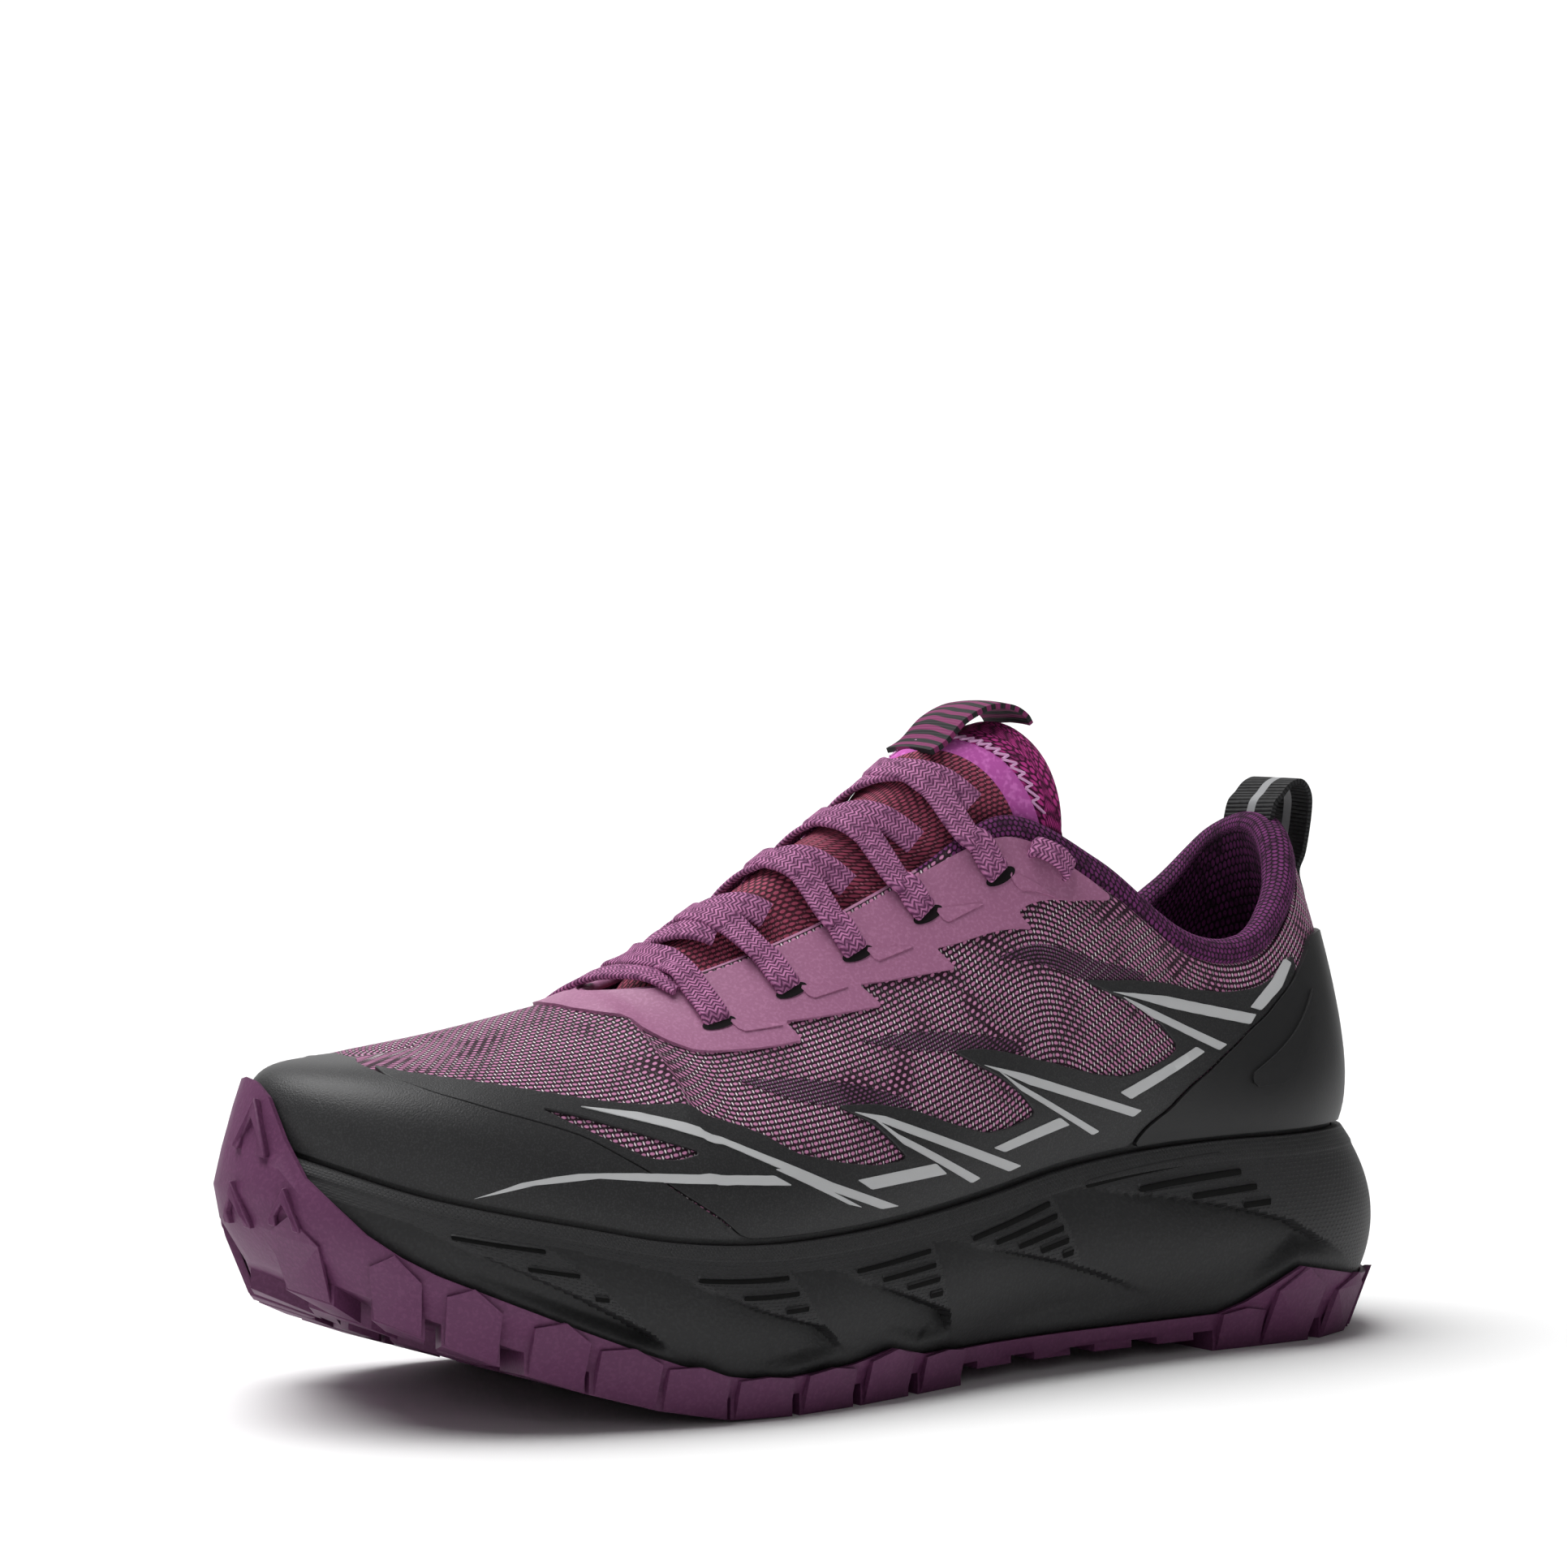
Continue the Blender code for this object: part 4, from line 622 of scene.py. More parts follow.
# Builds one material, node by node.
class Looks:
    def __init__(self, name, colour, roughness, sheen=0):
        self.material = bpy.data.materials.new(name)
        self.material.use_nodes = True
        self.tree = self.material.node_tree
        self.shader = self.tree.nodes["Principled BSDF"]
        for key, value in (("Base Color", colour), ("Roughness", roughness),
                           ("Sheen Weight", sheen), ("Sheen Tint", colour),
                           ("Specular IOR Level", .3)):
            self.put(self.shader.inputs[key], value)

    # Another node's output, a number or a colour, into a socket.
    def put(self, socket, value):
        if isinstance(value, bpy.types.NodeSocket):
            self.tree.links.new(value, socket)
        else:
            socket.default_value = linear(value) if isinstance(value, str) else value

    def add(self, kind, links=None, **settings):
        node = self.tree.nodes.new(kind)
        for key, value in settings.items():
            setattr(node, key, value)
        for key, value in (links or {}).items():
            self.put(node.inputs[key], value)
        return node

    def sums(self, operation, *values):
        return self.add("ShaderNodeMath", dict(enumerate(values)), operation=operation).outputs[0]

    def steps(self, value, low, high):
        links = {"Value": value, "From Min": low, "From Max": high}
        return self.add("ShaderNodeMapRange", links, interpolation_type="SMOOTHSTEP").outputs[0]

    def mix(self, share, a, b):
        return self.add("ShaderNodeMix", {0: share, 6: a, 7: b}, data_type="RGBA").outputs[2]

    def noise(self, scale, place=None, detail=2):
        place = place or self.add("ShaderNodeTexCoord").outputs["Object"]
        links = {"Vector": place, "Scale": scale, "Detail": detail}
        return self.add("ShaderNodeTexNoise", links).outputs["Fac"]

    # The piece's own map, whose unit is a millimetre.
    def flatPlace(self):
        uv = self.add("ShaderNodeUVMap").outputs["UV"]
        parts = self.add("ShaderNodeSeparateXYZ", {"Vector": uv}).outputs
        return parts[0], parts[1]

    def colour(self, value):
        self.tree.links.new(value, self.shader.inputs["Base Color"])

    def relief(self, height, depth, strength=1):
        links = {"Height": height, "Distance": depth, "Strength": strength}
        bump = self.add("ShaderNodeBump", links).outputs["Normal"]
        self.tree.links.new(bump, self.shader.inputs["Normal"])


# Offset cells of a weave: each place's distance across and up from its cell's middle.
def yarnCells(looks, x, y, wide, high):
    row = looks.sums("DIVIDE", y, high)
    odd = looks.sums("MODULO", looks.sums("FLOOR", looks.sums("ADD", row, 1000)), 2)
    column = looks.sums("ADD", looks.sums("DIVIDE", x, wide), looks.sums("MULTIPLY", odd, .5))
    return (looks.sums("SUBTRACT", looks.sums("FRACT", looks.sums("ADD", column, 1000)), .5),
            looks.sums("SUBTRACT", looks.sums("FRACT", looks.sums("ADD", row, 1000)), .5))


# 1 in the middle of an oval, 0 from its edge out.
def blob(looks, x, y, wide, high):
    a = looks.sums("POWER", looks.sums("ABSOLUTE", looks.sums("DIVIDE", x, wide)), 2)
    b = looks.sums("POWER", looks.sums("ABSOLUTE", looks.sums("DIVIDE", y, high)), 2)
    return looks.steps(looks.sums("SUBTRACT", 1, looks.sums("ADD", a, b)), 0, .6)


# Woven cloth: a lump of yarn in each cell, a light fleck between two cells, and dark holes.
def weave(name, wide, high, yarn, fleck, hole, yarnSize=(.40, .40), fleckSize=(.13, .46), depth=.0004):
    looks = Looks(name, yarn, .75, .15)
    x, y = looks.flatPlace()
    cx, cy = yarnCells(looks, x, y, wide, high)
    lump = blob(looks, cx, cy, *yarnSize)
    side = looks.sums("SUBTRACT", .5, looks.sums("ABSOLUTE", cx))
    thread = blob(looks, side, cy, *fleckSize)
    tone = looks.noise(90)
    body = looks.mix(lump, hole, yarn)
    body = looks.mix(looks.sums("MULTIPLY", thread, looks.steps(tone, .3, .6)), body, fleck)
    looks.colour(body)
    looks.relief(looks.sums("MAXIMUM", lump, looks.sums("MULTIPLY", thread, .8)), depth)
    return looks.material


# Knitted cloth: columns of short slanted stitches.
def knit(name, wide, high, light, dark, depth=.0006, sheen=.3):
    looks = Looks(name, light, .9, sheen)
    x, y = looks.flatPlace()
    cx, cy = yarnCells(looks, x, y, wide, high)
    lump = blob(looks, cx, cy, .47, .55)
    tone = looks.noise(400)
    share = looks.sums("MULTIPLY", lump, looks.steps(tone, .2, .6))
    looks.colour(looks.mix(share, dark, light))
    looks.relief(lump, depth)
    return looks.material


# Moulded or coated surface with a fine grain.
def grain(name, colour, roughness, scale, depth, light=None):
    looks = Looks(name, colour, roughness)
    speck = looks.noise(scale, detail=1)
    if light:
        looks.colour(looks.mix(looks.steps(speck, .45, .7), colour, light))
    looks.relief(speck, depth, .6)
    return looks.material


# Flat woven braid: rows of slanted stitches whose slant turns at each column. The raised stitches take
# the light colour as a painted highlight and the hollows between them the dark colour as painted
# shade, broken up by random tone.
def herringbone(name, light, dark, width, columns):
    looks = Looks(name, light, .7, .2)
    x, y = looks.flatPlace()
    across = looks.sums("MULTIPLY", looks.sums("DIVIDE", y, width), columns)
    bent = looks.sums("PINGPONG", across, 1)
    place = looks.sums("ADD", looks.sums("DIVIDE", x, .95), looks.sums("MULTIPLY", bent, .9))
    rib = looks.sums("PINGPONG", place, .5)
    high = looks.steps(rib, .03, .34)
    tone = looks.noise(700)
    # Painted highlight on the raised stitches, painted shade in the hollows between them
    looks.colour(looks.mix(looks.sums("MULTIPLY", high, looks.steps(tone, .15, .7)), dark, light))
    looks.relief(high, .0004)
    return looks.material


# Woven polyester mesh of the upper, and the darker bands woven into it
meshCloth = weave("woven_mesh", 2.0, 1.3, "cc87b0", "fff0f6", "220c1a", (.34, .37), (.12, .42))
darkCloth = weave("woven_mesh_dark", 1.4, .9, "7d4a72", "b8a4b2", "1c0916", (.36, .34), (.12, .4))
# Coated ripstop film of the eyestay
ripstop = grain("ripstop_film", "a0688a", .48, 1400, .00008, "ac7496")
# Matt black film with a fine grain: toe cap, side overlays, and the moulded counter
mattFilm = grain("matt_film", "2c2c2d", .45, 2600, .00012, "373738")
mouldedFilm = grain("moulded_film", "252526", .5, 2000, .00005)
# Light grey reflective film of the stripes
reflective = grain("reflective_film", "c4c5c6", .35, 1500, .00003)
# Padded knit of the collar
collarKnit = knit("collar_knit", 1.2, 1.2, "72306a", "240a20")
liningKnit = knit("lining_knit", 1.7, 1.6, "6a2c62", "1a0817", .0005)
# Open knitted mesh of the tongue's top, its brushed band, the mesh in the throat, and the
# polyester thread of the zigzag seam
hexMesh = knit("tongue_mesh", 2.1, 1.8, "c23a8e", "3e0a2e", .0008)
brushed = grain("brushed_cloth", "c25cb0", .95, 900, .0002, "d877c8")
throatMesh = weave("throat_mesh", 1.5, 1.1, "b4506c", "c9718a", "4a1c2c", (.44, .44), (.12, .3))
stitchThread = Looks("stitch_thread", "dca6d2", .6, .1).material
# Flat woven lace
laceCloth = herringbone("flat_lace", "cd82b4", "66305a", 6.5, 6)
# Ribbed webbing of the loops, its reflective stripe, and the printed ribbon
webbing = herringbone("webbing", "2a2a2c", "0d0d0e", 16, 1)
greyWebbing = grain("grey_webbing", "8d8e90", .45, 1500, .0001)
# Painted shade: near-black colour standing in for the shadow inside the lace's slots
slotShade = Looks("slot_shadow", "0c0509", .95).material
# Moulded foam of the midsole, rubber of the outsole, and brushed cloth on the footbed's foam
foam = grain("midsole_foam", "262627", .56, 1300, .00018, "2c2c2d")
rubber = grain("outsole_rubber", "5f3355", .58, 1200, .00012, "67395c")
footbed = grain("insole_foam", "6b4a66", .9, 900, .0002)


# Black webbing with wavy bands of magenta.
def ribbonPrint():
    looks = Looks("printed_ribbon", "1b1a1d", .7)
    x, y = looks.flatPlace()
    place = looks.add("ShaderNodeCombineXYZ", {"X": x, "Y": y}).outputs[0]
    waves = looks.add("ShaderNodeTexWave", {"Vector": place, "Scale": .11, "Distortion": 9,
                                            "Detail": 2, "Detail Scale": .35}).outputs["Fac"]
    looks.colour(looks.mix(looks.steps(waves, .42, .58), "1b1a1d", "7c2a5c"))
    looks.relief(looks.sums("PINGPONG", looks.sums("DIVIDE", x, .8), .5), .0002)
    return looks.material


# Foam with a fine texture of lumps, like cloth pressed into it.
def pressedFoam(name, colour, wide, high, lump, depth):
    looks = Looks(name, colour, .55)
    x, y = looks.flatPlace()
    cx, cy = yarnCells(looks, x, y, wide, high)
    looks.relief(blob(looks, cx, cy, *lump), depth)
    return looks.material


# Foam of the side's panels and of the rim band, near-black painted shade in the slots, and the loop's
# ribbon
panelFoam = pressedFoam("panel_foam", "323233", 1.5, .8, (.36, .3), .0003)
grooveShade = Looks("groove_shade", "020202", .9).material
printedRibbon = ribbonPrint()
rimFoam = pressedFoam("rim_foam", "343435", .9, .8, (.45, .45), .00022)


# Pieces

# A mesh piece: points in the sections' frame, and each point's place on its own map in
# millimetres. choose lists each face's material.
def piece(name, verts, faces, places, finish, node=None, sharp=35, choose=None):
    mesh = bpy.data.meshes.new(name)
    mesh.from_pydata([v + modelShift for v in verts], [], faces)
    uv = mesh.uv_layers.new(name="UVMap")
    for corner in mesh.loops:
        uv.data[corner.index].uv = places[corner.vertex_index]
    finishes = finish if isinstance(finish, (list, tuple)) else [finish]
    for item in finishes:
        mesh.materials.append(item)
    if choose:
        for i, face in enumerate(mesh.polygons):
            face.material_index = choose[i]
    return finishPiece(name, mesh, node, sharp)


def finishPiece(name, mesh, node, sharp=35, turn=True):
    if turn:
        bm = bmesh.new()
        bm.from_mesh(mesh)
        bmesh.ops.remove_doubles(bm, verts=bm.verts, dist=.00001)
        bmesh.ops.recalc_face_normals(bm, faces=bm.faces)
        bm.to_mesh(mesh)
        bm.free()
    mesh.shade_smooth()
    mesh.set_sharp_from_angle(angle=math.radians(sharp))
    made = bpy.data.objects.new(name, mesh)
    bpy.context.collection.objects.link(made)
    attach(made, "root")
    if node:
        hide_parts(node)
    return made


# Rounds a piece's sharp edges, and makes that part of its mesh.
def rounded(made, width, segments=2, angle=50):
    bevel = made.modifiers.new("bevel", "BEVEL")
    bevel.width = width
    bevel.segments = segments
    bevel.limit_method = "ANGLE"
    bevel.angle_limit = math.radians(angle)
    bevel.use_clamp_overlap = True
    shown = made.evaluated_get(bpy.context.evaluated_depsgraph_get())
    mesh = bpy.data.meshes.new_from_object(shown)
    made.modifiers.clear()
    old = made.data
    made.data = mesh
    bpy.data.meshes.remove(old)


def gridFaces(rows, columns, closed=True, start=0):
    faces = []
    last = columns if closed else columns - 1
    for r in range(rows - 1):
        for c in range(last):
            d = (c + 1) % columns
            faces.append((start + r * columns + c, start + r * columns + d,
                          start + (r + 1) * columns + d, start + (r + 1) * columns + c))
    return faces


# The cloth's own map: along x from the heel, and down from the ridge or the throat
mapSteps = {"heel": 4, "along": .25, "up": 12}


# Length round the heel, from the row where the sides turn straight back to place u.
@lru_cache(maxsize=None)
def roundHeel(u, v):
    low, count = u, max(1, math.ceil((mapSteps["heel"] - u) / mapSteps["along"]))
    ends = [low + (mapSteps["heel"] - low) * i / count for i in range(count + 1)]
    points = [upperPoint(e, v) for e in ends]
    return sum((q - p).length for p, q in zip(points, points[1:])) * 1000


# Lengths from the top edge down the section at u, at even steps of its curve.
@lru_cache(maxsize=None)
def downFromTop(u):
    n = mapSteps["up"]
    points = [upperPoint(u, i / n) for i in range(n + 1)]
    out = [0]
    for p, q in zip(points[::-1], points[-2::-1]):
        out.append(out[-1] + (q - p).length * 1000)
    return out[::-1]


# Millimetres along and across the cloth.
def clothPlace(u, v):
    if v > 1:
        u, v = loop - u, 2 - v
    sign = -1 if u % loop <= toeRow else 1
    n = mapSteps["up"]
    i = min(int(v * n), n - 1)
    down = downFromTop(round(u, 4))
    y = down[i] + (down[i + 1] - down[i]) * (v * n - i)
    near = oneSide(u)
    if near >= mapSteps["heel"]:
        return (upperPoint(u, v).x * 1000, sign * y)
    x = upperPoint(mapSteps["heel"], v).x * 1000 - roundHeel(round(near, 4), round(v, 4))
    return (x, sign * y)


# Upper: rows of its outer and inner faces, the roll of its top edge, the skirt inside the cup,
# and the map's own places for the roll, the lining and the skirt
upperMesh = {"columns": 330, "outer": [i / 40 for i in range(37)] + [.915, .925, .93, .935, .95,
                                                                     .97, .985, 1],
             "inner": [1, .96, .92, .87, .8, .7, .6, .5, .4, .3, .2, .1, 0],
             "roll": 8, "rise": .42, "skirt": .004, "roll_map": 1.3, "lining_map": (14, 60),
             "skirt_map": 80, "lining_end": 7, "dark_hem": .04}

# Band of collar knit: lowest row and last column, and the groove under it
cuff = {"place": .93, "end": 6.6, "groove": .0006, "puff": .0007, "half": .012, "fade": .4,
        "swell": .03, "below": .004}


# Groove under the collar's knitted band, and the band's swell.
def upperLift(u, v):
    if v > 1:
        return 0
    near = smooth((cuff["end"] + cuff["fade"] - oneSide(u)) / cuff["fade"])
    away = abs(v - cuff["place"]) / cuff["half"]
    swell = smooth((v - cuff["place"]) / cuff["swell"]) * cuff["puff"]
    return near * (swell - cuff["groove"] * max(0, 1 - away))


def makeUpper(m):
    columns = m["columns"]
    places = [loop * i / columns for i in range(columns)]
    end = throatEndPlace()
    for target in (end, loop - end):
        near = min(range(columns), key=lambda i: abs(places[i] - target))
        places[near] = target
    verts, uvs = [], []
    for u in places:
        verts.append(place(u, biteReach(u), biteHeight(u) - m["skirt"]))
        uvs.append((clothPlace(u, 0)[0], 0))
    for v in m["outer"]:
        for u in places:
            verts.append(skin(u, v, upperLift(u, v)))
            uvs.append(clothPlace(u, v))
    for k in range(1, m["roll"]):
        angle = math.pi * k / m["roll"]
        for u in places:
            thick = wallAt(u, 1)
            closed = throatClosing(u) == 0
            top, low = skin(u, 1, upperLift(u, 1)), skin(u, 1, -(wall if closed else thick))
            rise = Vector()
            if not closed:
                rise = (upperPoint(u, 1) - upperPoint(u, .97)).normalized()
                rise *= min(m["rise"] * thick, .5 * upperCurve(u)[3][0])
            middle = (top + low) / 2
            verts.append(middle + (top - middle) * math.cos(angle) + rise * math.sin(angle))
            uvs.append((clothPlace(u, 1)[0], thick * 1000 * k / m["roll"] * m["roll_map"]))
    for v in m["inner"]:
        for u in places:
            verts.append(skin(u, v, -wallAt(u, v)))
            uvs.append((clothPlace(u, v)[0], m["lining_map"][0] + m["lining_map"][1] * (1 - v)))
    for u in places:
        verts.append(place(u, biteReach(u) - wall, biteHeight(u) - m["skirt"]))
        uvs.append((clothPlace(u, 0)[0], m["skirt_map"]))
    outerEnd = len(m["outer"])
    rollEnd = outerEnd + m["roll"]
    kept, choose = [], []
    for i, face in enumerate(gridFaces(len(verts) // columns, columns)):
        r, u = i // columns, places[i % columns]
        both = throatClosing(u) == 0 and throatClosing(places[(i + 1) % columns]) == 0
        if both and outerEnd <= r < rollEnd:
            continue
        kept.append(face)
        v = m["outer"][min(max(r - 1, 0), outerEnd - 1)]
        if r >= rollEnd - 1:
            choose.append(2)
        elif r > outerEnd - 1:
            choose.append(1 if oneSide(u) < m["lining_end"] else 3)
        elif oneSide(u) < cuff["end"] and v >= cuff["place"] - cuff["below"]:
            choose.append(1)
        else:
            choose.append(4 if v < m["dark_hem"] else 0)
    return piece("upper_cloth", verts, kept, uvs,
                 [meshCloth, collarKnit, liningKnit, ripstop, mattFilm], "upper",
                 60, choose)


upperCloth = makeUpper(upperMesh)
print("upper", len(upperCloth.data.polygons))


# Cuts the corners of an outline a little.
def smoothRing(ring, cut):
    out = []
    for a, b, c in zip(ring[-1:] + ring[:-1], ring, ring[1:] + ring[:1]):
        for other in (a, c):
            reach = (other - b).length
            share = min(cut / max(reach, 1e-9), .3)
            out.append(b.lerp(other, share))
    return out


# Search for a place: tries, the steps that give its slope, the longest move of one try, and how
# far from the guess a place may lie
search = {"tries": 12, "du": .01, "dv": .004, "move": (.3, .08), "near": (.6, .12)}


# The place on the side of the upper that is seen at (x, z) from the side.
def placeAt(x, z, guess, lift):
    u, v = guess
    far, tall = search["move"]
    for _ in range(search["tries"]):
        point = skin(u, v, lift)
        du = (skin(u + search["du"], v, lift) - point) / search["du"]
        dv = (skin(u, v + search["dv"], lift) - point) / search["dv"]
        scale = du.x * dv.z - du.z * dv.x
        if abs(scale) < 1e-12:
            break
        a, b = x - point.x, z - point.z
        u += max(-far, min(far, (a * dv.z - b * dv.x) / scale))
        v += max(-tall, min(tall, (du.x * b - du.z * a) / scale))
        v = min(max(v, search["dv"]), 1)
    return u, v


# The same outline with its runs straight as seen from the side.
def straight(ring, lift=.001, spacing=.005):
    out = []
    for p, q in zip(ring, ring[1:] + ring[:1]):
        a, b = skin(*p, lift), skin(*q, lift)
        count = max(1, math.ceil((b - a).length / spacing))
        out.append(p)
        for i in range(1, count):
            t = i / count
            guess = (p[0] + (q[0] - p[0]) * t, p[1] + (q[1] - p[1]) * t)
            middle = a.lerp(b, t)
            found = placeAt(middle.x, middle.z, guess, lift)
            near = all(abs(f - g) < n for f, g, n in zip(found, guess, search["near"]))
            out.append(found if near else guess)
    return out


# Points inside a sheet: cell size and distance from the outline in spacings, and how far the
# sheet's underside lies below its base
fill = {"cell": 1.15, "off": .55, "sink": .0003}


# A thin sheet over an outline of the upper's outer face, laid on it.
def sheetOn(name, outline, base, thickness, finish, node=None, window=(), corner=.0012,
            spacing=.0022, edge=.00022, face=None):
    surface = face or (lambda u, v, lift: skin(u, v, lift + upperLift(u, v)))
    rings = [walk(smoothRing([flat(*p) for p in ring], corner), spacing, closed=True)
             for ring in (outline, window) if ring]
    points, edges = [], []
    for ring in rings:
        start = len(points)
        points += ring
        edges += [(start + i, start + (i + 1) % len(ring)) for i in range(len(ring))]
    xs, ys = [p.x for p in rings[0]], [p.y for p in rings[0]]
    nx, ny = (max(1, int((max(a) - min(a)) / (spacing * fill["cell"]))) for a in (xs, ys))
    closedRings = [ring + ring[:1] for ring in rings]
    for i in range(nx):
        for j in range(ny):
            point = Vector((min(xs) + (i + .5) * (max(xs) - min(xs)) / nx,
                            min(ys) + (j + .5) * (max(ys) - min(ys)) / ny))
            if inside(point, rings[0]) and not any(inside(point, r) for r in rings[1:]):
                off = fill["off"] * spacing
                if all(nearest(point, line)[0] > off for line in closedRings):
                    points.append(point)
    coords, _, found, _, _, _ = delaunay_2d_cdt(points, edges, [], 0, 1e-7)
    count = len(coords)
    spots = [(c.x / rowPitch, c.y / upperPitch) for c in coords]
    verts = [surface(u, v, base + thickness) for u, v in spots]
    verts += [surface(u, v, base - fill["sink"]) for u, v in spots]
    uvs = [clothPlace(u, v) for u, v in spots] * 2
    faces, rim = [], set()
    for item in found:
        centre = sum((coords[i] for i in item), Vector((0, 0))) / 3
        if inside(centre, rings[0]) and not any(inside(centre, r) for r in rings[1:]):
            faces.append(tuple(item))
            for a, b in zip(item, item[1:] + item[:1]):
                if (b, a) in rim:
                    rim.remove((b, a))
                else:
                    rim.add((a, b))
    faces += [(a, a + count, b + count, b) for a, b in sorted(rim)]
    used = sorted({i for f in faces for i in f})
    number = {old: new for new, old in enumerate(used)}
    made = piece(name, [verts[i] for i in used], [tuple(number[i] for i in f) for f in faces],
                 [uvs[i] for i in used], finish, node, 50)
    if edge:
        rounded(made, edge)
    return made


# Overlays, with the outlines of the part's own: thickness of each kind of sheet, and how far
# the stripes and bands lie over what is under them
sheets = {"counter": .0013, "cap": .0009, "side": .0007, "eyestay": .0007, "stripe": .00012,
          "stripe_lift": .0001, "band": .00012, "band_lift": .00003, "plate": .0006,
          "arrow": .0004, "arrow_sink": .0001}

# How far the side film ends before the counter's film and under the toe cap's, and the steps and
# the tip of the eyestay's edge round the throat
joins = {"counter": .02, "cap": (.02, .006), "step": .15, "tip": .03}


def makeOverlays(j):
    sheetOn("heel_counter_film", mirrored(counterEdge + counterHem, 0), 0, sheets["counter"],
            mouldedFilm, "heel_counter", edge=.0005)
    sheetOn("toe_cap_film", mirrored(capEdge, toeRow), 0, sheets["cap"], mattFilm, "toe_cap")
    counter = [(u + j["counter"], v) for u, v in counterEdge[3:]]
    back, rise = j["cap"]
    cap = [(u - back, v + rise) for u, v in capEdge[1:8]]
    side = list(sideTop) + counter + [(capEdge[0][0] - back, hem)] + cap
    for name, node, turned in (("side_film_outer", "side_overlay_outer", False),
                               ("side_film_inner", "side_overlay_inner", True)):
        sheetOn(name, sided(side, turned), 0, sheets["side"], mattFilm, node,
                sided(sideWindow, turned))
    edge = 1 - throatMargin
    throat = [(eyestayRear[0][0] + j["step"] * i, edge) for i in range(1, 21)]
    throat = [p for p in throat if p[0] < throatEndPlace()] + [(throatEndPlace(), edge)]
    outer = list(eyestayLow[:-1])
    inner = [(u, 2 - v) for u, v in outer[::-1]]
    brow = list(eyestayRear[::-1]) + throat
    tip = (throatEndPlace() + j["tip"], 1)
    outline = outer + [eyestayLow[-1]] + inner + [(u, 2 - v) for u, v in brow] + [tip]
    sheetOn("eyestay_film", outline + brow[::-1], 0, sheets["eyestay"], ripstop, "eyestay",
            corner=.0006)


makeOverlays(joins)
print("overlays")

# Reflective stripes on the side overlay, outlines on the upper
stripes = {
    "long": ((11.63, .425), (11.0, .41), (10.57, .363), (9.91, .306), (9.11, .166), (8.28, .047),
             (8.51, .051), (9.28, .160), (9.74, .248), (10.23, .317), (10.78, .358), (11.17, .394)),
    "branch": ((9.75, .239), (8.94, .088), (8.77, .07), (9.62, .235)),
    "thin": ((12.73, .025), (12.37, .106), (12.1, .145), (11.88, .169), (11.6, .188),
             (11.25, .206), (9.78, .218), (9.6, .179), (10.86, .184), (11.69, .165), (12.27, .105)),
    "bar_a": ((8.80, .160), (7.76, .144), (7.62, .102), (8.63, .119)),
    "fork_a": ((8.66, .381), (8.31, .338), (6.59, .049), (6.76, .046), (8.05, .261)),
    "fork_b": ((8.2, .27), (7.16, .056), (7.28, .05), (8.15, .235), (8.5, .36)),
    "bar_b": ((6.97, .131), (6.06, .148), (5.93, .12), (6.82, .107)),
    "fork_c": ((6.97, .379), (6.49, .305), (4.98, .138), (5.09, .117), (6.43, .268)),
    "fork_d": ((6.6, .29), (5.53, .083), (5.62, .076), (6.55, .262), (6.8, .345)),
    "bar_c": ((5.26, .199), (4.2, .456), (4.09, .445), (5.12, .177)),
    "fork_e": ((5.22, .535), (4.5, .623), (3.14, .656), (3.27, .611), (4.49, .578)),
    "fork_f": ((4.79, .525), (3.73, .504), (3.86, .47), (4.75, .495), (5.1, .53)),
    "rear": ((2.3, .79), (2.6, .736), (3.04, .672), (3.2, .696), (2.72, .79), (2.4, .83)),
}


# The same sheet on the outer and the inner side.
def onBothSides(name, ring, base, thickness, finish, corner, edge):
    for side in ("outer", "inner"):
        sheetOn(name + "_" + side, sided(ring, side == "inner"), base, thickness, finish, None,
                corner=corner, spacing=.003, edge=edge)


for name, corners in stripes.items():
    onBothSides("stripe_" + name, straight(corners), sheets["side"] + sheets["stripe_lift"],
                sheets["stripe"], reflective, .0003, 0)
print("stripes")


# Darker bands woven into the mesh above the side film, and the counter's raised plate
bands = {
    "front": ((9.76, .58), (9.1, .545), (8.5, .47), (7.9, .36), (7.94, .33), (8.39, .389),
              (8.83, .42), (9.25, .47)),
    "middle": ((8.29, .60), (7.7, .565), (7.08, .49), (6.5, .405), (6.4, .36), (6.69, .391),
               (6.95, .428), (7.29, .454), (7.75, .51)),
    "rear": ((6.5, .645), (6.0, .645), (5.3, .63), (4.7, .67), (4.78, .629), (5.19, .576),
             (5.55, .548), (6.0, .585)),
}
counterPlate = ((3.43, .283), (3.46, .35), (2.05, .655), (2.51, .484), (2.91, .289))


for name, corners in bands.items():
    onBothSides("mesh_band_" + name, corners, sheets["band_lift"], sheets["band"], darkCloth,
                .001, 0)
onBothSides("counter_plate", counterPlate, sheets["counter"], sheets["plate"], mouldedFilm,
            .0015, .0003)


# Slots: a dark oval of painted shade under each end of the lace, standing in for the slot's hollow,
# with its sides, how far it lies back and off the cloth and its half sizes, and the corners of the
# raised arrow behind it
laceHoles = {"sides": 24, "back": .0009, "lift": .0009, "hollow": .00085, "half": (.0040, .0016),
             "arrow": ((-.10, -.005), (-.62, -.075), (-.16, -.062))}


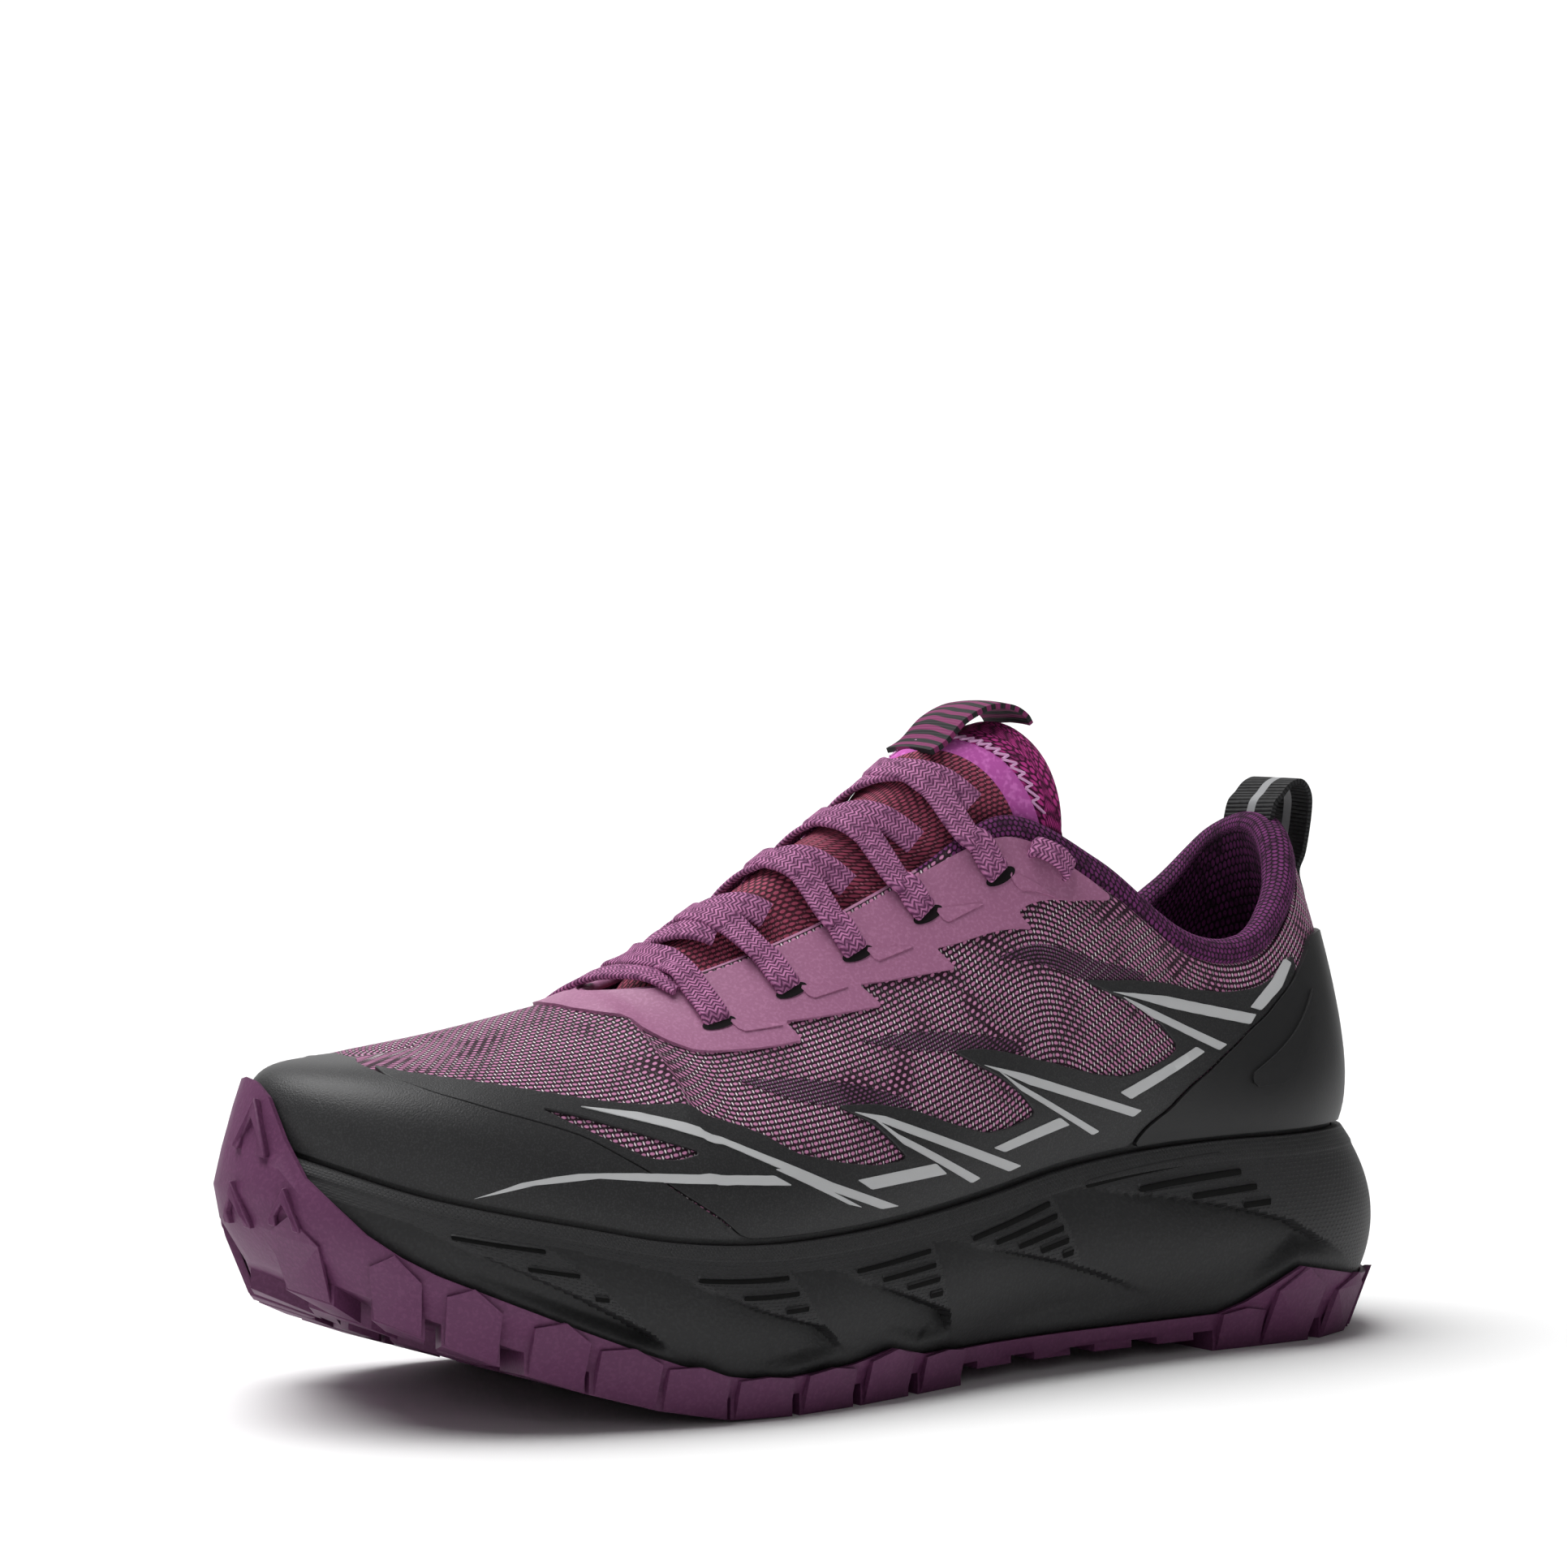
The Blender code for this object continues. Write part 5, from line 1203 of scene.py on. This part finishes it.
def makeSlots(s):
    for i, (slot, height, crest, _, _) in enumerate(laces):
        for inner in (False, True):
            side = "inner" if inner else "outer"
            path = barHalf(slot, height, crest, inner)
            u = loop - slot if inner else slot
            base, up, run = slotFrame(u, height, path[4][0])
            across = run.cross(up)
            centre = base - run * s["back"]
            points = [centre + up * s["hollow"]]
            for k in range(s["sides"]):
                angle = 2 * math.pi * k / s["sides"]
                points.append(centre + up * s["lift"] + across * s["half"][0] * math.cos(angle)
                              + run * s["half"][1] * math.sin(angle))
            faces = [(0, k + 1, (k + 1) % s["sides"] + 1) for k in range(s["sides"])]
            piece("slot_%d_%s" % (i + 1, side), points, faces, [(0, 0)] * len(points), slotShade,
                  None)
            ring = sided([(slot + a, height + b) for a, b in s["arrow"]], inner)
            sheetOn("eyestay_arrow_%d_%s" % (i + 1, side), ring,
                    sheets["eyestay"] - sheets["arrow_sink"], sheets["arrow"], ripstop, None,
                    corner=.0008, spacing=.0025, edge=.00025)


makeSlots(laceHoles)
print("slots")


# Tongue: columns, first and last row, how its rows slant, its swell, the rows where the mesh,
# the soft band and the throat's mesh meet, and the map's shift for its underside
tongueMesh = {"across": 44, "first": 5.2, "last": 10.4, "round": .3, "rows": 8, "row": .1,
              "slant": .95, "slant_start": (5.4, .8), "slant_end": (8.6, 1.2), "swell": .0022,
              "swell_start": .4, "swell_end": (6.95, .3), "bands": (6.36, 6.74),
              "sides": (.8, .9), "map": 100}


def makeTongue(m):
    first, last = m["first"], m["last"]
    places = [first + m["round"] * (i / m["rows"]) ** 2 for i in range(m["rows"])]
    places += [first + m["round"] + m["row"] * i for i in range(50)]
    places = [u for u in places if u < last] + [last]
    verts, uvs, choose = [], [], []
    columns = 0
    for base in places:
        slant = (smooth((base - m["slant_start"][0]) / m["slant_start"][1])
                 * smooth((m["slant_end"][0] - base) / m["slant_end"][1]))
        row = []
        for i in range(m["across"] + 1):
            a = 1 - 2 * i / m["across"]
            u = base - m["slant"] * a * slant
            swell = (smooth((base - first) / m["swell_start"])
                     * smooth((m["swell_end"][0] - base) / m["swell_end"][1]) * (1 - a ** 4))
            row.append(tongueArch(max(u, first), a) + Vector((0, 0, m["swell"] * swell)))
        low = [tongueSide(base, share) for share in m["sides"]]
        high = [tongueSide(loop - base, share) for share in m["sides"][::-1]]
        row = low + row + high
        thick = tongueThickness + tongueValue("pad", base) * (tonguePad - tongueThickness)
        t = min((base - first) / m["round"], 1)
        fullness = math.sqrt(1 - (1 - t) ** 2)
        below = []
        lifted = []
        for i, point in enumerate(row):
            run = row[min(i + 1, len(row) - 1)] - row[max(i - 1, 0)]
            run.x = 0
            run.normalize()
            down = Vector((0, -run.z, run.y))
            lifted.append(point + down * thick * (1 - fullness) / 2)
            below.append(point + down * thick * (1 + fullness) / 2)
        columns = len(row)
        verts += lifted + below
        length, spot = 0, []
        for i, point in enumerate(row):
            length += (point - row[i - 1]).length * 1000 if i else 0
            spot.append((clothPlace(max(base, 5), 1)[0], length))
        uvs += spot + [(x, y + m["map"]) for x, y in spot]
    faces = []
    for i in range(len(places) - 1):
        base = (places[i] + places[i + 1]) / 2
        zone = sum(base >= edge for edge in m["bands"])
        for under in (0, 1):
            a, b = (2 * i + under) * columns, (2 * i + 2 + under) * columns
            for c in range(columns - 1):
                faces.append((a + c, a + c + 1, b + c + 1, b + c))
                choose.append(3 if under else zone)
        a, b = 2 * i * columns, (2 * i + 2) * columns
        for c in (0, columns - 1):
            faces.append((a + c, b + c, b + c + columns, a + c + columns))
            choose.append(zone)
    end = 2 * (len(places) - 1) * columns
    for c in range(columns - 1):
        faces.append((end + c, end + c + 1, end + c + 1 + columns, end + c + columns))
        choose.append(2)
    made = piece("tongue_cloth", verts, faces, uvs, [hexMesh, brushed, throatMesh, liningKnit],
                 "tongue", 60, choose)


makeTongue(tongueMesh)
print("tongue")


# Lace and loops: bands along a path

# More points on a smooth curve through (point, up) pairs.
def curveThrough(path, each):
    out = []
    for i in range(len(path) - 1):
        p = [path[min(max(i + j, 0), len(path) - 1)] for j in (-1, 0, 1, 2)]
        for k in range(each):
            t = k / each
            made = []
            for j in (0, 1):
                a, b, c, d = (q[j] for q in p)
                made.append(b + .5 * t * (c - a + t * (2 * a - 5 * b + 4 * c - d
                                                       + t * (3 * (b - c) + d - a))))
            out.append((made[0], made[1].normalized()))
    return out + [path[-1]]


# A band's faces across one side and round one edge, the smooth steps between two points of the
# lace, and the top stitches' width as a share of the lace's
braid = {"flat": 6, "edge": 4, "each": 5, "stitch": .8}


# Vertices, faces and map of a flat band with rounded edges.
def band(path, width, thickness, start=0):
    profile = []
    inner = width / 2 - thickness / 2
    for sign in (1, -1):
        for k in range(braid["flat"] + 1):
            across = inner - 2 * inner * k / braid["flat"]
            profile.append((sign * across, sign * thickness / 2))
        for k in range(1, braid["edge"]):
            angle = sign * math.pi / 2 + math.pi * k / braid["edge"]
            profile.append((-sign * inner + thickness / 2 * math.cos(angle),
                            thickness / 2 * math.sin(angle)))
    verts, uvs = [], []
    length = 0
    for i, (point, up) in enumerate(path):
        run = path[min(i + 1, len(path) - 1)][0] - path[max(i - 1, 0)][0]
        side = run.cross(up).normalized()
        lift = side.cross(run).normalized()
        length += (point - path[i - 1][0]).length * 1000 if i else 0
        for a, b in profile:
            verts.append(point + side * a + lift * b)
            uvs.append((length, (a + width / 2) * 1000))
    n = len(profile)
    faces = gridFaces(len(path), n, True, start)
    faces.append(tuple(start + i for i in range(n)))
    faces.append(tuple(start + (len(path) - 1) * n + i for i in range(n))[::-1])
    return verts, uvs, faces


# The front run, over the throat's base: points, and the way that each faces
frontLace = (((.1885, .0150, .0838), (0, .6, 1)), ((.1915, .0095, .0862), (0, .45, 1)),
             ((.1945, .0030, .0868), (.3, .1, 1)), ((.1975, -.0035, .0858), (.4, -.2, 1)),
             ((.2000, -.0090, .0830), (.4, -.5, 1)), ((.2020, -.0135, .0795), (.3, -.7, 1)))


def makeLace():
    verts, uvs, faces = [], [], []
    paths = list(lacePaths())
    paths[0] = [(Vector(p), Vector(n)) for p, n in frontLace]
    for path in paths:
        path = curveThrough(path, braid["each"])
        a, b, c = band(path, laceWidth, laceThickness, len(verts))
        verts, uvs, faces = verts + a, uvs + b, faces + c
    piece("lace_braid", verts, faces, uvs, laceCloth, "lace", 70)
    for name, node, inner in (("lace_stitch_outer", "lace_top_outer", False),
                              ("lace_stitch_inner", "lace_top_inner", True)):
        low, high = topFrames(inner)
        lift = sheetLift + film + laceLift(0)
        middle = (low[0] + high[0]) / 2 + low[1] * (lift + laceClearance)
        path = slotEnd(*low, lift) + [(middle, low[1])] + slotEnd(*high, lift)[::-1]
        path = curveThrough(path, braid["each"])
        verts, uvs, faces = band(path, laceWidth * braid["stitch"], laceThickness)
        piece(name, verts, faces, uvs, laceCloth, node, 70)


makeLace()

# Zigzag stitches along the seam before the soft band of the tongue
zigzag = {"legs": 54, "seam": 6.35, "reach": .055, "end": .86, "width": .0008, "thread": .0006,
          "lift": .0003, "up": (-.3, 0, 1)}


def makeZigzag(z):
    up = Vector(z["up"])
    spots = []
    for k in range(z["legs"] + 1):
        a = z["end"] * (1 - 2 * k / z["legs"])
        u = z["seam"] + z["reach"] * (1 if k % 2 else -1) - tongueMesh["slant"] * a
        rise = tongueMesh["swell"] * (1 - a ** 4) + z["lift"]
        spots.append(tongueArch(u, a) + Vector((0, 0, rise)))
    verts, uvs, faces = [], [], []
    for a, b in zip(spots, spots[1:]):
        more = band([(a, up), (b, up)], z["width"], z["thread"], len(verts))
        verts, uvs, faces = verts + more[0], uvs + more[1], faces + more[2]
    piece("tongue_zigzag", verts, faces, uvs, stitchThread, None, 50)


makeZigzag(zigzag)
print("lace")


# Loops: half thickness, columns, the columns with the reflective stripe, the heel's folded end
loopBand = {"half": .0006, "columns": 12, "stripe": (5, 6, 18, 19), "map": 8,
            "fold": (.0012, -.004), "steps": 6}


def makeLoops(m):
    seam = []
    for v in heelLoopSeam:
        point = skin(0, v, gap + m["half"])
        seam.append(Vector((point.x, point.z)))
    run = [Vector((x * soleLength, z * heelHeight)) for x, z in heelLoopRun]
    run = seam + run + [run[-1] + Vector(m["fold"])]
    top = [Vector((x * soleLength, z * instepHeight)) for x, z in tongueLoopRun]
    across = [loopWidth * (i / m["columns"] - .5) for i in range(m["columns"] + 1)]
    for name, node, line, finish, bow in (
            ("heel_loop_band", "heel_loop", run, [webbing, greyWebbing], (1 / (2 * heelRadius), 0)),
            ("tongue_loop_band", "tongue_loop", top, [printedRibbon, printedRibbon],
             (0, 1 / (2 * tongueLoopRadius)))):
        path = [(Vector((p.x, 0, p.y)), Vector((0, 1, 0))) for p in line]
        path = curveThrough(path, m["steps"])
        verts, uvs = [], []
        length = 0
        for i, (point, _) in enumerate(path):
            way = path[min(i + 1, len(path) - 1)][0] - path[max(i - 1, 0)][0]
            out = Vector((way.z, 0, -way.x)).normalized() * m["half"]
            length += (point - path[i - 1][0]).length * 1000 if i else 0
            for sign in (1, -1):
                for y in across[::sign]:
                    verts.append(point + out * sign + Vector((y * y * bow[0], y, -y * y * bow[1])))
                    uvs.append((length, y * 1000 + m["map"]))
        n = 2 * len(across)
        faces = gridFaces(len(path), n)
        choose = [int(i % n in m["stripe"]) for i in range(len(faces))]
        for row in (0, len(path) - 1):
            faces.append(tuple(row * n + i for i in range(n)))
            choose.append(0)
        piece(name, verts, faces, uvs, finish, node, 50, choose)


makeLoops(loopBand)
print("loops")


# Outsole and insole: the part's own solids, the outsole's edges rounded
def dressed(node, name, finish, width):
    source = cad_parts[node]
    mesh = source.data.copy()
    mesh.materials.clear()
    mesh.materials.append(finish)
    made = finishPiece(name, mesh, node, 32)
    if width:
        rounded(made, width, 2, 32)
    return made


dressed("outsole", "outsole_body", rubber, .0003)
insole = dressed("insole", "insole_body", footbed, 0)
print("sole")


# Midsole's side, in fine columns and rows: fins, bands below them and the rim. Then the
# band's own share of the height, how it blends and stands out, and the map's lengths.
midsole = {"columns": 36, "rows": 56, "rim": .885, "blend": .02, "proud": .00035,
           "map": (22, 34), "cup": (36, 10)}


# Depth and finish of each grid point of one side.
def midsoleDepths(m):
    parts = finParts()
    table = []
    for j in range(m["rows"] + 1):
        q = j / m["rows"]
        row = []
        for i in range(toeRow * m["columns"] + 1):
            u = i / m["columns"]
            point = metric(u, q)
            depth, kind = 0, 1
            for fin in parts:
                if inside(point, fin["band"]):
                    depth, kind = bandDepth(fin, point), 0
                    break
            if q > m["rim"]:
                depth -= m["proud"] * smooth((q - m["rim"]) / m["blend"])
                kind = 2
            row.append((depth, kind))
        table.append(row)
    return table


def makeMidsole(m):
    table = midsoleDepths(m)
    side = toeRow * m["columns"]
    columns = 2 * side
    verts, uvs = [], []
    for j, row in enumerate(table):
        q = j / m["rows"]
        for i in range(columns):
            near = i if i <= side else columns - i
            verts.append(sidePoint(i / m["columns"], q, row[near][0]))
            uvs.append((i / m["columns"] * m["map"][0], q * m["map"][1]))
    faces = gridFaces(len(table), columns)
    choose = []
    for f in range(len(faces)):
        j, i = divmod(f, columns)
        choose.append(table[j][i if i < side else columns - i - 1][1])
    rows = len(table)
    for k in (0, 1):
        for i in range(columns):
            u = i / m["columns"]
            verts.append(place(u, biteReach(u) + gap, rimHeight(u) - k * cupDepth))
            uvs.append((u * m["map"][0], m["cup"][0] + m["cup"][1] * k))
    faces += gridFaces(3, columns, True, (rows - 1) * columns)
    choose += [2] * columns + [0] * columns
    for start in ((rows + 1) * columns, 0):  # the cup's floor and the underside
        for i in range(columns // 2):
            ring = (start + i, start + (i + 1), start + (columns - i - 1) % columns,
                    start + (columns - i) % columns)
            ring = tuple(dict.fromkeys(ring))
            if len(ring) > 2:
                faces.append(ring)
                choose.append(0)
    piece("midsole_body", verts, faces, uvs, [foam, panelFoam, rimFoam], "midsole",
          50, choose)


# Slots in the side: a floor with round ends, coloured near-black as painted shade, and a raised lip
# along its lower edge
grooves = {"half": .00058, "floor": .00016, "steps": 22,
           "lip": ((1, .00002), (1.3, .00040), (1.75, .00036), (2.3, -.0002))}


def sideDepth(point, parts):
    for fin in parts:
        if inside(point, fin["band"]):
            return bandDepth(fin, point)
    return 0


def slotPlace(point, loopSide, parts, outward):
    u, q = point.x / rowPitch, point.y / sidePitch
    return sidePoint(loop - u if loopSide else u, q, sideDepth(point, parts) - outward)


def makeGrooves(g):
    parts = finParts()
    lines = [line for fin in parts for line in grooveLines(fin)]
    for name, flip in (("outer", False), ("inner", True)):
        dark, lips = ([], []), ([], [])
        for a, b in lines:
            run = (b - a).normalized()
            across = Vector((-run.y, run.x))
            for k in range(g["steps"] + 1):
                share = k / g["steps"]
                centre = a + (b - a) * (.5 - .5 * math.cos(math.pi * share))
                half = g["half"] * math.sqrt(max(1 - abs(2 * share - 1) ** 9, .02))
                for w in (-1, 1):
                    dark[0].append(slotPlace(centre + across * half * w, flip, parts, g["floor"]))
                for w, out in g["lip"]:
                    lips[0].append(slotPlace(centre - across * half * w, flip, parts, out))
            for verts, faces, n in ((*dark, 2), (*lips, 4)):
                start = len(verts) - n * (g["steps"] + 1)
                for k in range(g["steps"]):
                    for w in range(n - 1):
                        c = start + k * n + w
                        faces.append((c, c + 1, c + n + 1, c + n))
        for kind, (verts, faces), look in (("slots", dark, grooveShade), ("slot_lips", lips, foam)):
            piece("midsole_" + kind + "_" + name, verts, faces, [(0, 0)] * len(verts), look, None,
                  50)


makeMidsole(midsole)
makeGrooves(grooves)

# Raised arrows on the toe bumper: middle (place, share up the wrap), half width, length.
# Then the wrap's thickness, how far they stand out and reach in, and one row's and the
# wrap's length there.
arrows = {"top": (14.6, 1.07, .0078, .0101), "left": (14.72, .47, .0071, .0193),
          "right": (14.15, .56, .0050, .0184)}
bumper = {"out": .0016, "proud": .0011, "sunk": .0006, "row": .016 / .45, "rise": .046}
arrowShape = ((0, .5), (1, -.35), (1, -.5), (.55, -.5), (.5, -.22), (0, .12), (-.5, -.22),
              (-.55, -.5), (-1, -.5), (-1, -.35))


def makeArrows():
    n = len(arrowShape)
    for name, (u, s, half, tall) in arrows.items():
        spots = [(u + a * half / bumper["row"], s + b * tall / bumper["rise"])
                 for a, b in arrowShape]
        verts = [wrapPoint(*spot, bumper["out"] + bumper["proud"]) for spot in spots]
        verts += [wrapPoint(*spot, bumper["out"] - bumper["sunk"]) for spot in spots]
        faces = [tuple(range(n)), tuple(range(2 * n - 1, n - 1, -1))]
        faces += [(i, (i + 1) % n, (i + 1) % n + n, i + n) for i in range(n)]
        made = piece("toe_arrow_" + name, verts, faces, [(0, 0)] * (2 * n), rubber, None,
                     30)
        rounded(made, .0003, 2, 40)


makeArrows()
print("midsole and toe")

# Floor and lights: the sun's and the fill lamp's places, and the cosines between which the
# sky brightens toward the backdrop
stage = {"floor": "f4f4f4", "size": 6, "sun": 3.9, "spread": 55, "sun_way": (.22, -.34, 1),
         "fill": 1.4, "fill_place": (.9, 1.3, .7), "fill_aim": (0, 0, .06), "world": .12,
         "backdrop": 1.1, "edge": (.72, .95)}


def addLamp(name, kind, energy, way, spot):
    data = bpy.data.lights.new(name, kind)
    data.energy = energy
    lamp = bpy.data.objects.new(name, data)
    lamp.location = spot
    lamp.rotation_euler = Vector(way).to_track_quat("Z", "Y").to_euler()
    bpy.context.collection.objects.link(lamp)
    return data


def makeStage(s):
    mesh = bpy.data.meshes.new("floor")
    far = s["size"]
    mesh.from_pydata([(-far, -far, 0), (far, -far, 0), (far, far, 0), (-far, far, 0)], [],
                     [(0, 1, 2, 3)])
    mesh.materials.append(Looks("pale_floor", s["floor"], .8).material)
    floor = bpy.data.objects.new("floor", mesh)
    bpy.context.collection.objects.link(floor)
    world = bpy.data.worlds.new("studio")
    world.use_nodes = True
    tree = world.node_tree
    sky = tree.nodes["Background"]
    # White backdrop behind the shoe, a dim room elsewhere
    ray = tree.nodes.new("ShaderNodeTexCoord")
    turn = tree.nodes.new("ShaderNodeVectorMath")
    turn.operation = "DOT_PRODUCT"
    turn.inputs[1].default_value = (-math.sin(cameraFit["turn"]), -math.cos(cameraFit["turn"]), 0)
    share = tree.nodes.new("ShaderNodeMapRange")
    share.interpolation_type = "SMOOTHSTEP"
    share.inputs["From Min"].default_value, share.inputs["From Max"].default_value = s["edge"]
    share.inputs["To Min"].default_value = s["world"]
    share.inputs["To Max"].default_value = s["backdrop"]
    tree.links.new(ray.outputs["Generated"], turn.inputs[0])
    tree.links.new(turn.outputs["Value"], share.inputs["Value"])
    tree.links.new(share.outputs["Result"], sky.inputs["Strength"])
    sky.inputs["Color"].default_value = (1, 1, 1, 1)
    bpy.context.scene.world = world
    sun = addLamp("softbox_above", "SUN", s["sun"], s["sun_way"], (0, 0, 0))
    sun.angle = math.radians(s["spread"])
    fillPlace = Vector(s["fill_place"])
    lamp = addLamp("fill", "AREA", s["fill"], fillPlace - Vector(s["fill_aim"]), fillPlace)
    lamp.shape = "DISK"
    lamp.size = 1
    bpy.context.scene.view_settings.view_transform = "Standard"


makeStage(stage)
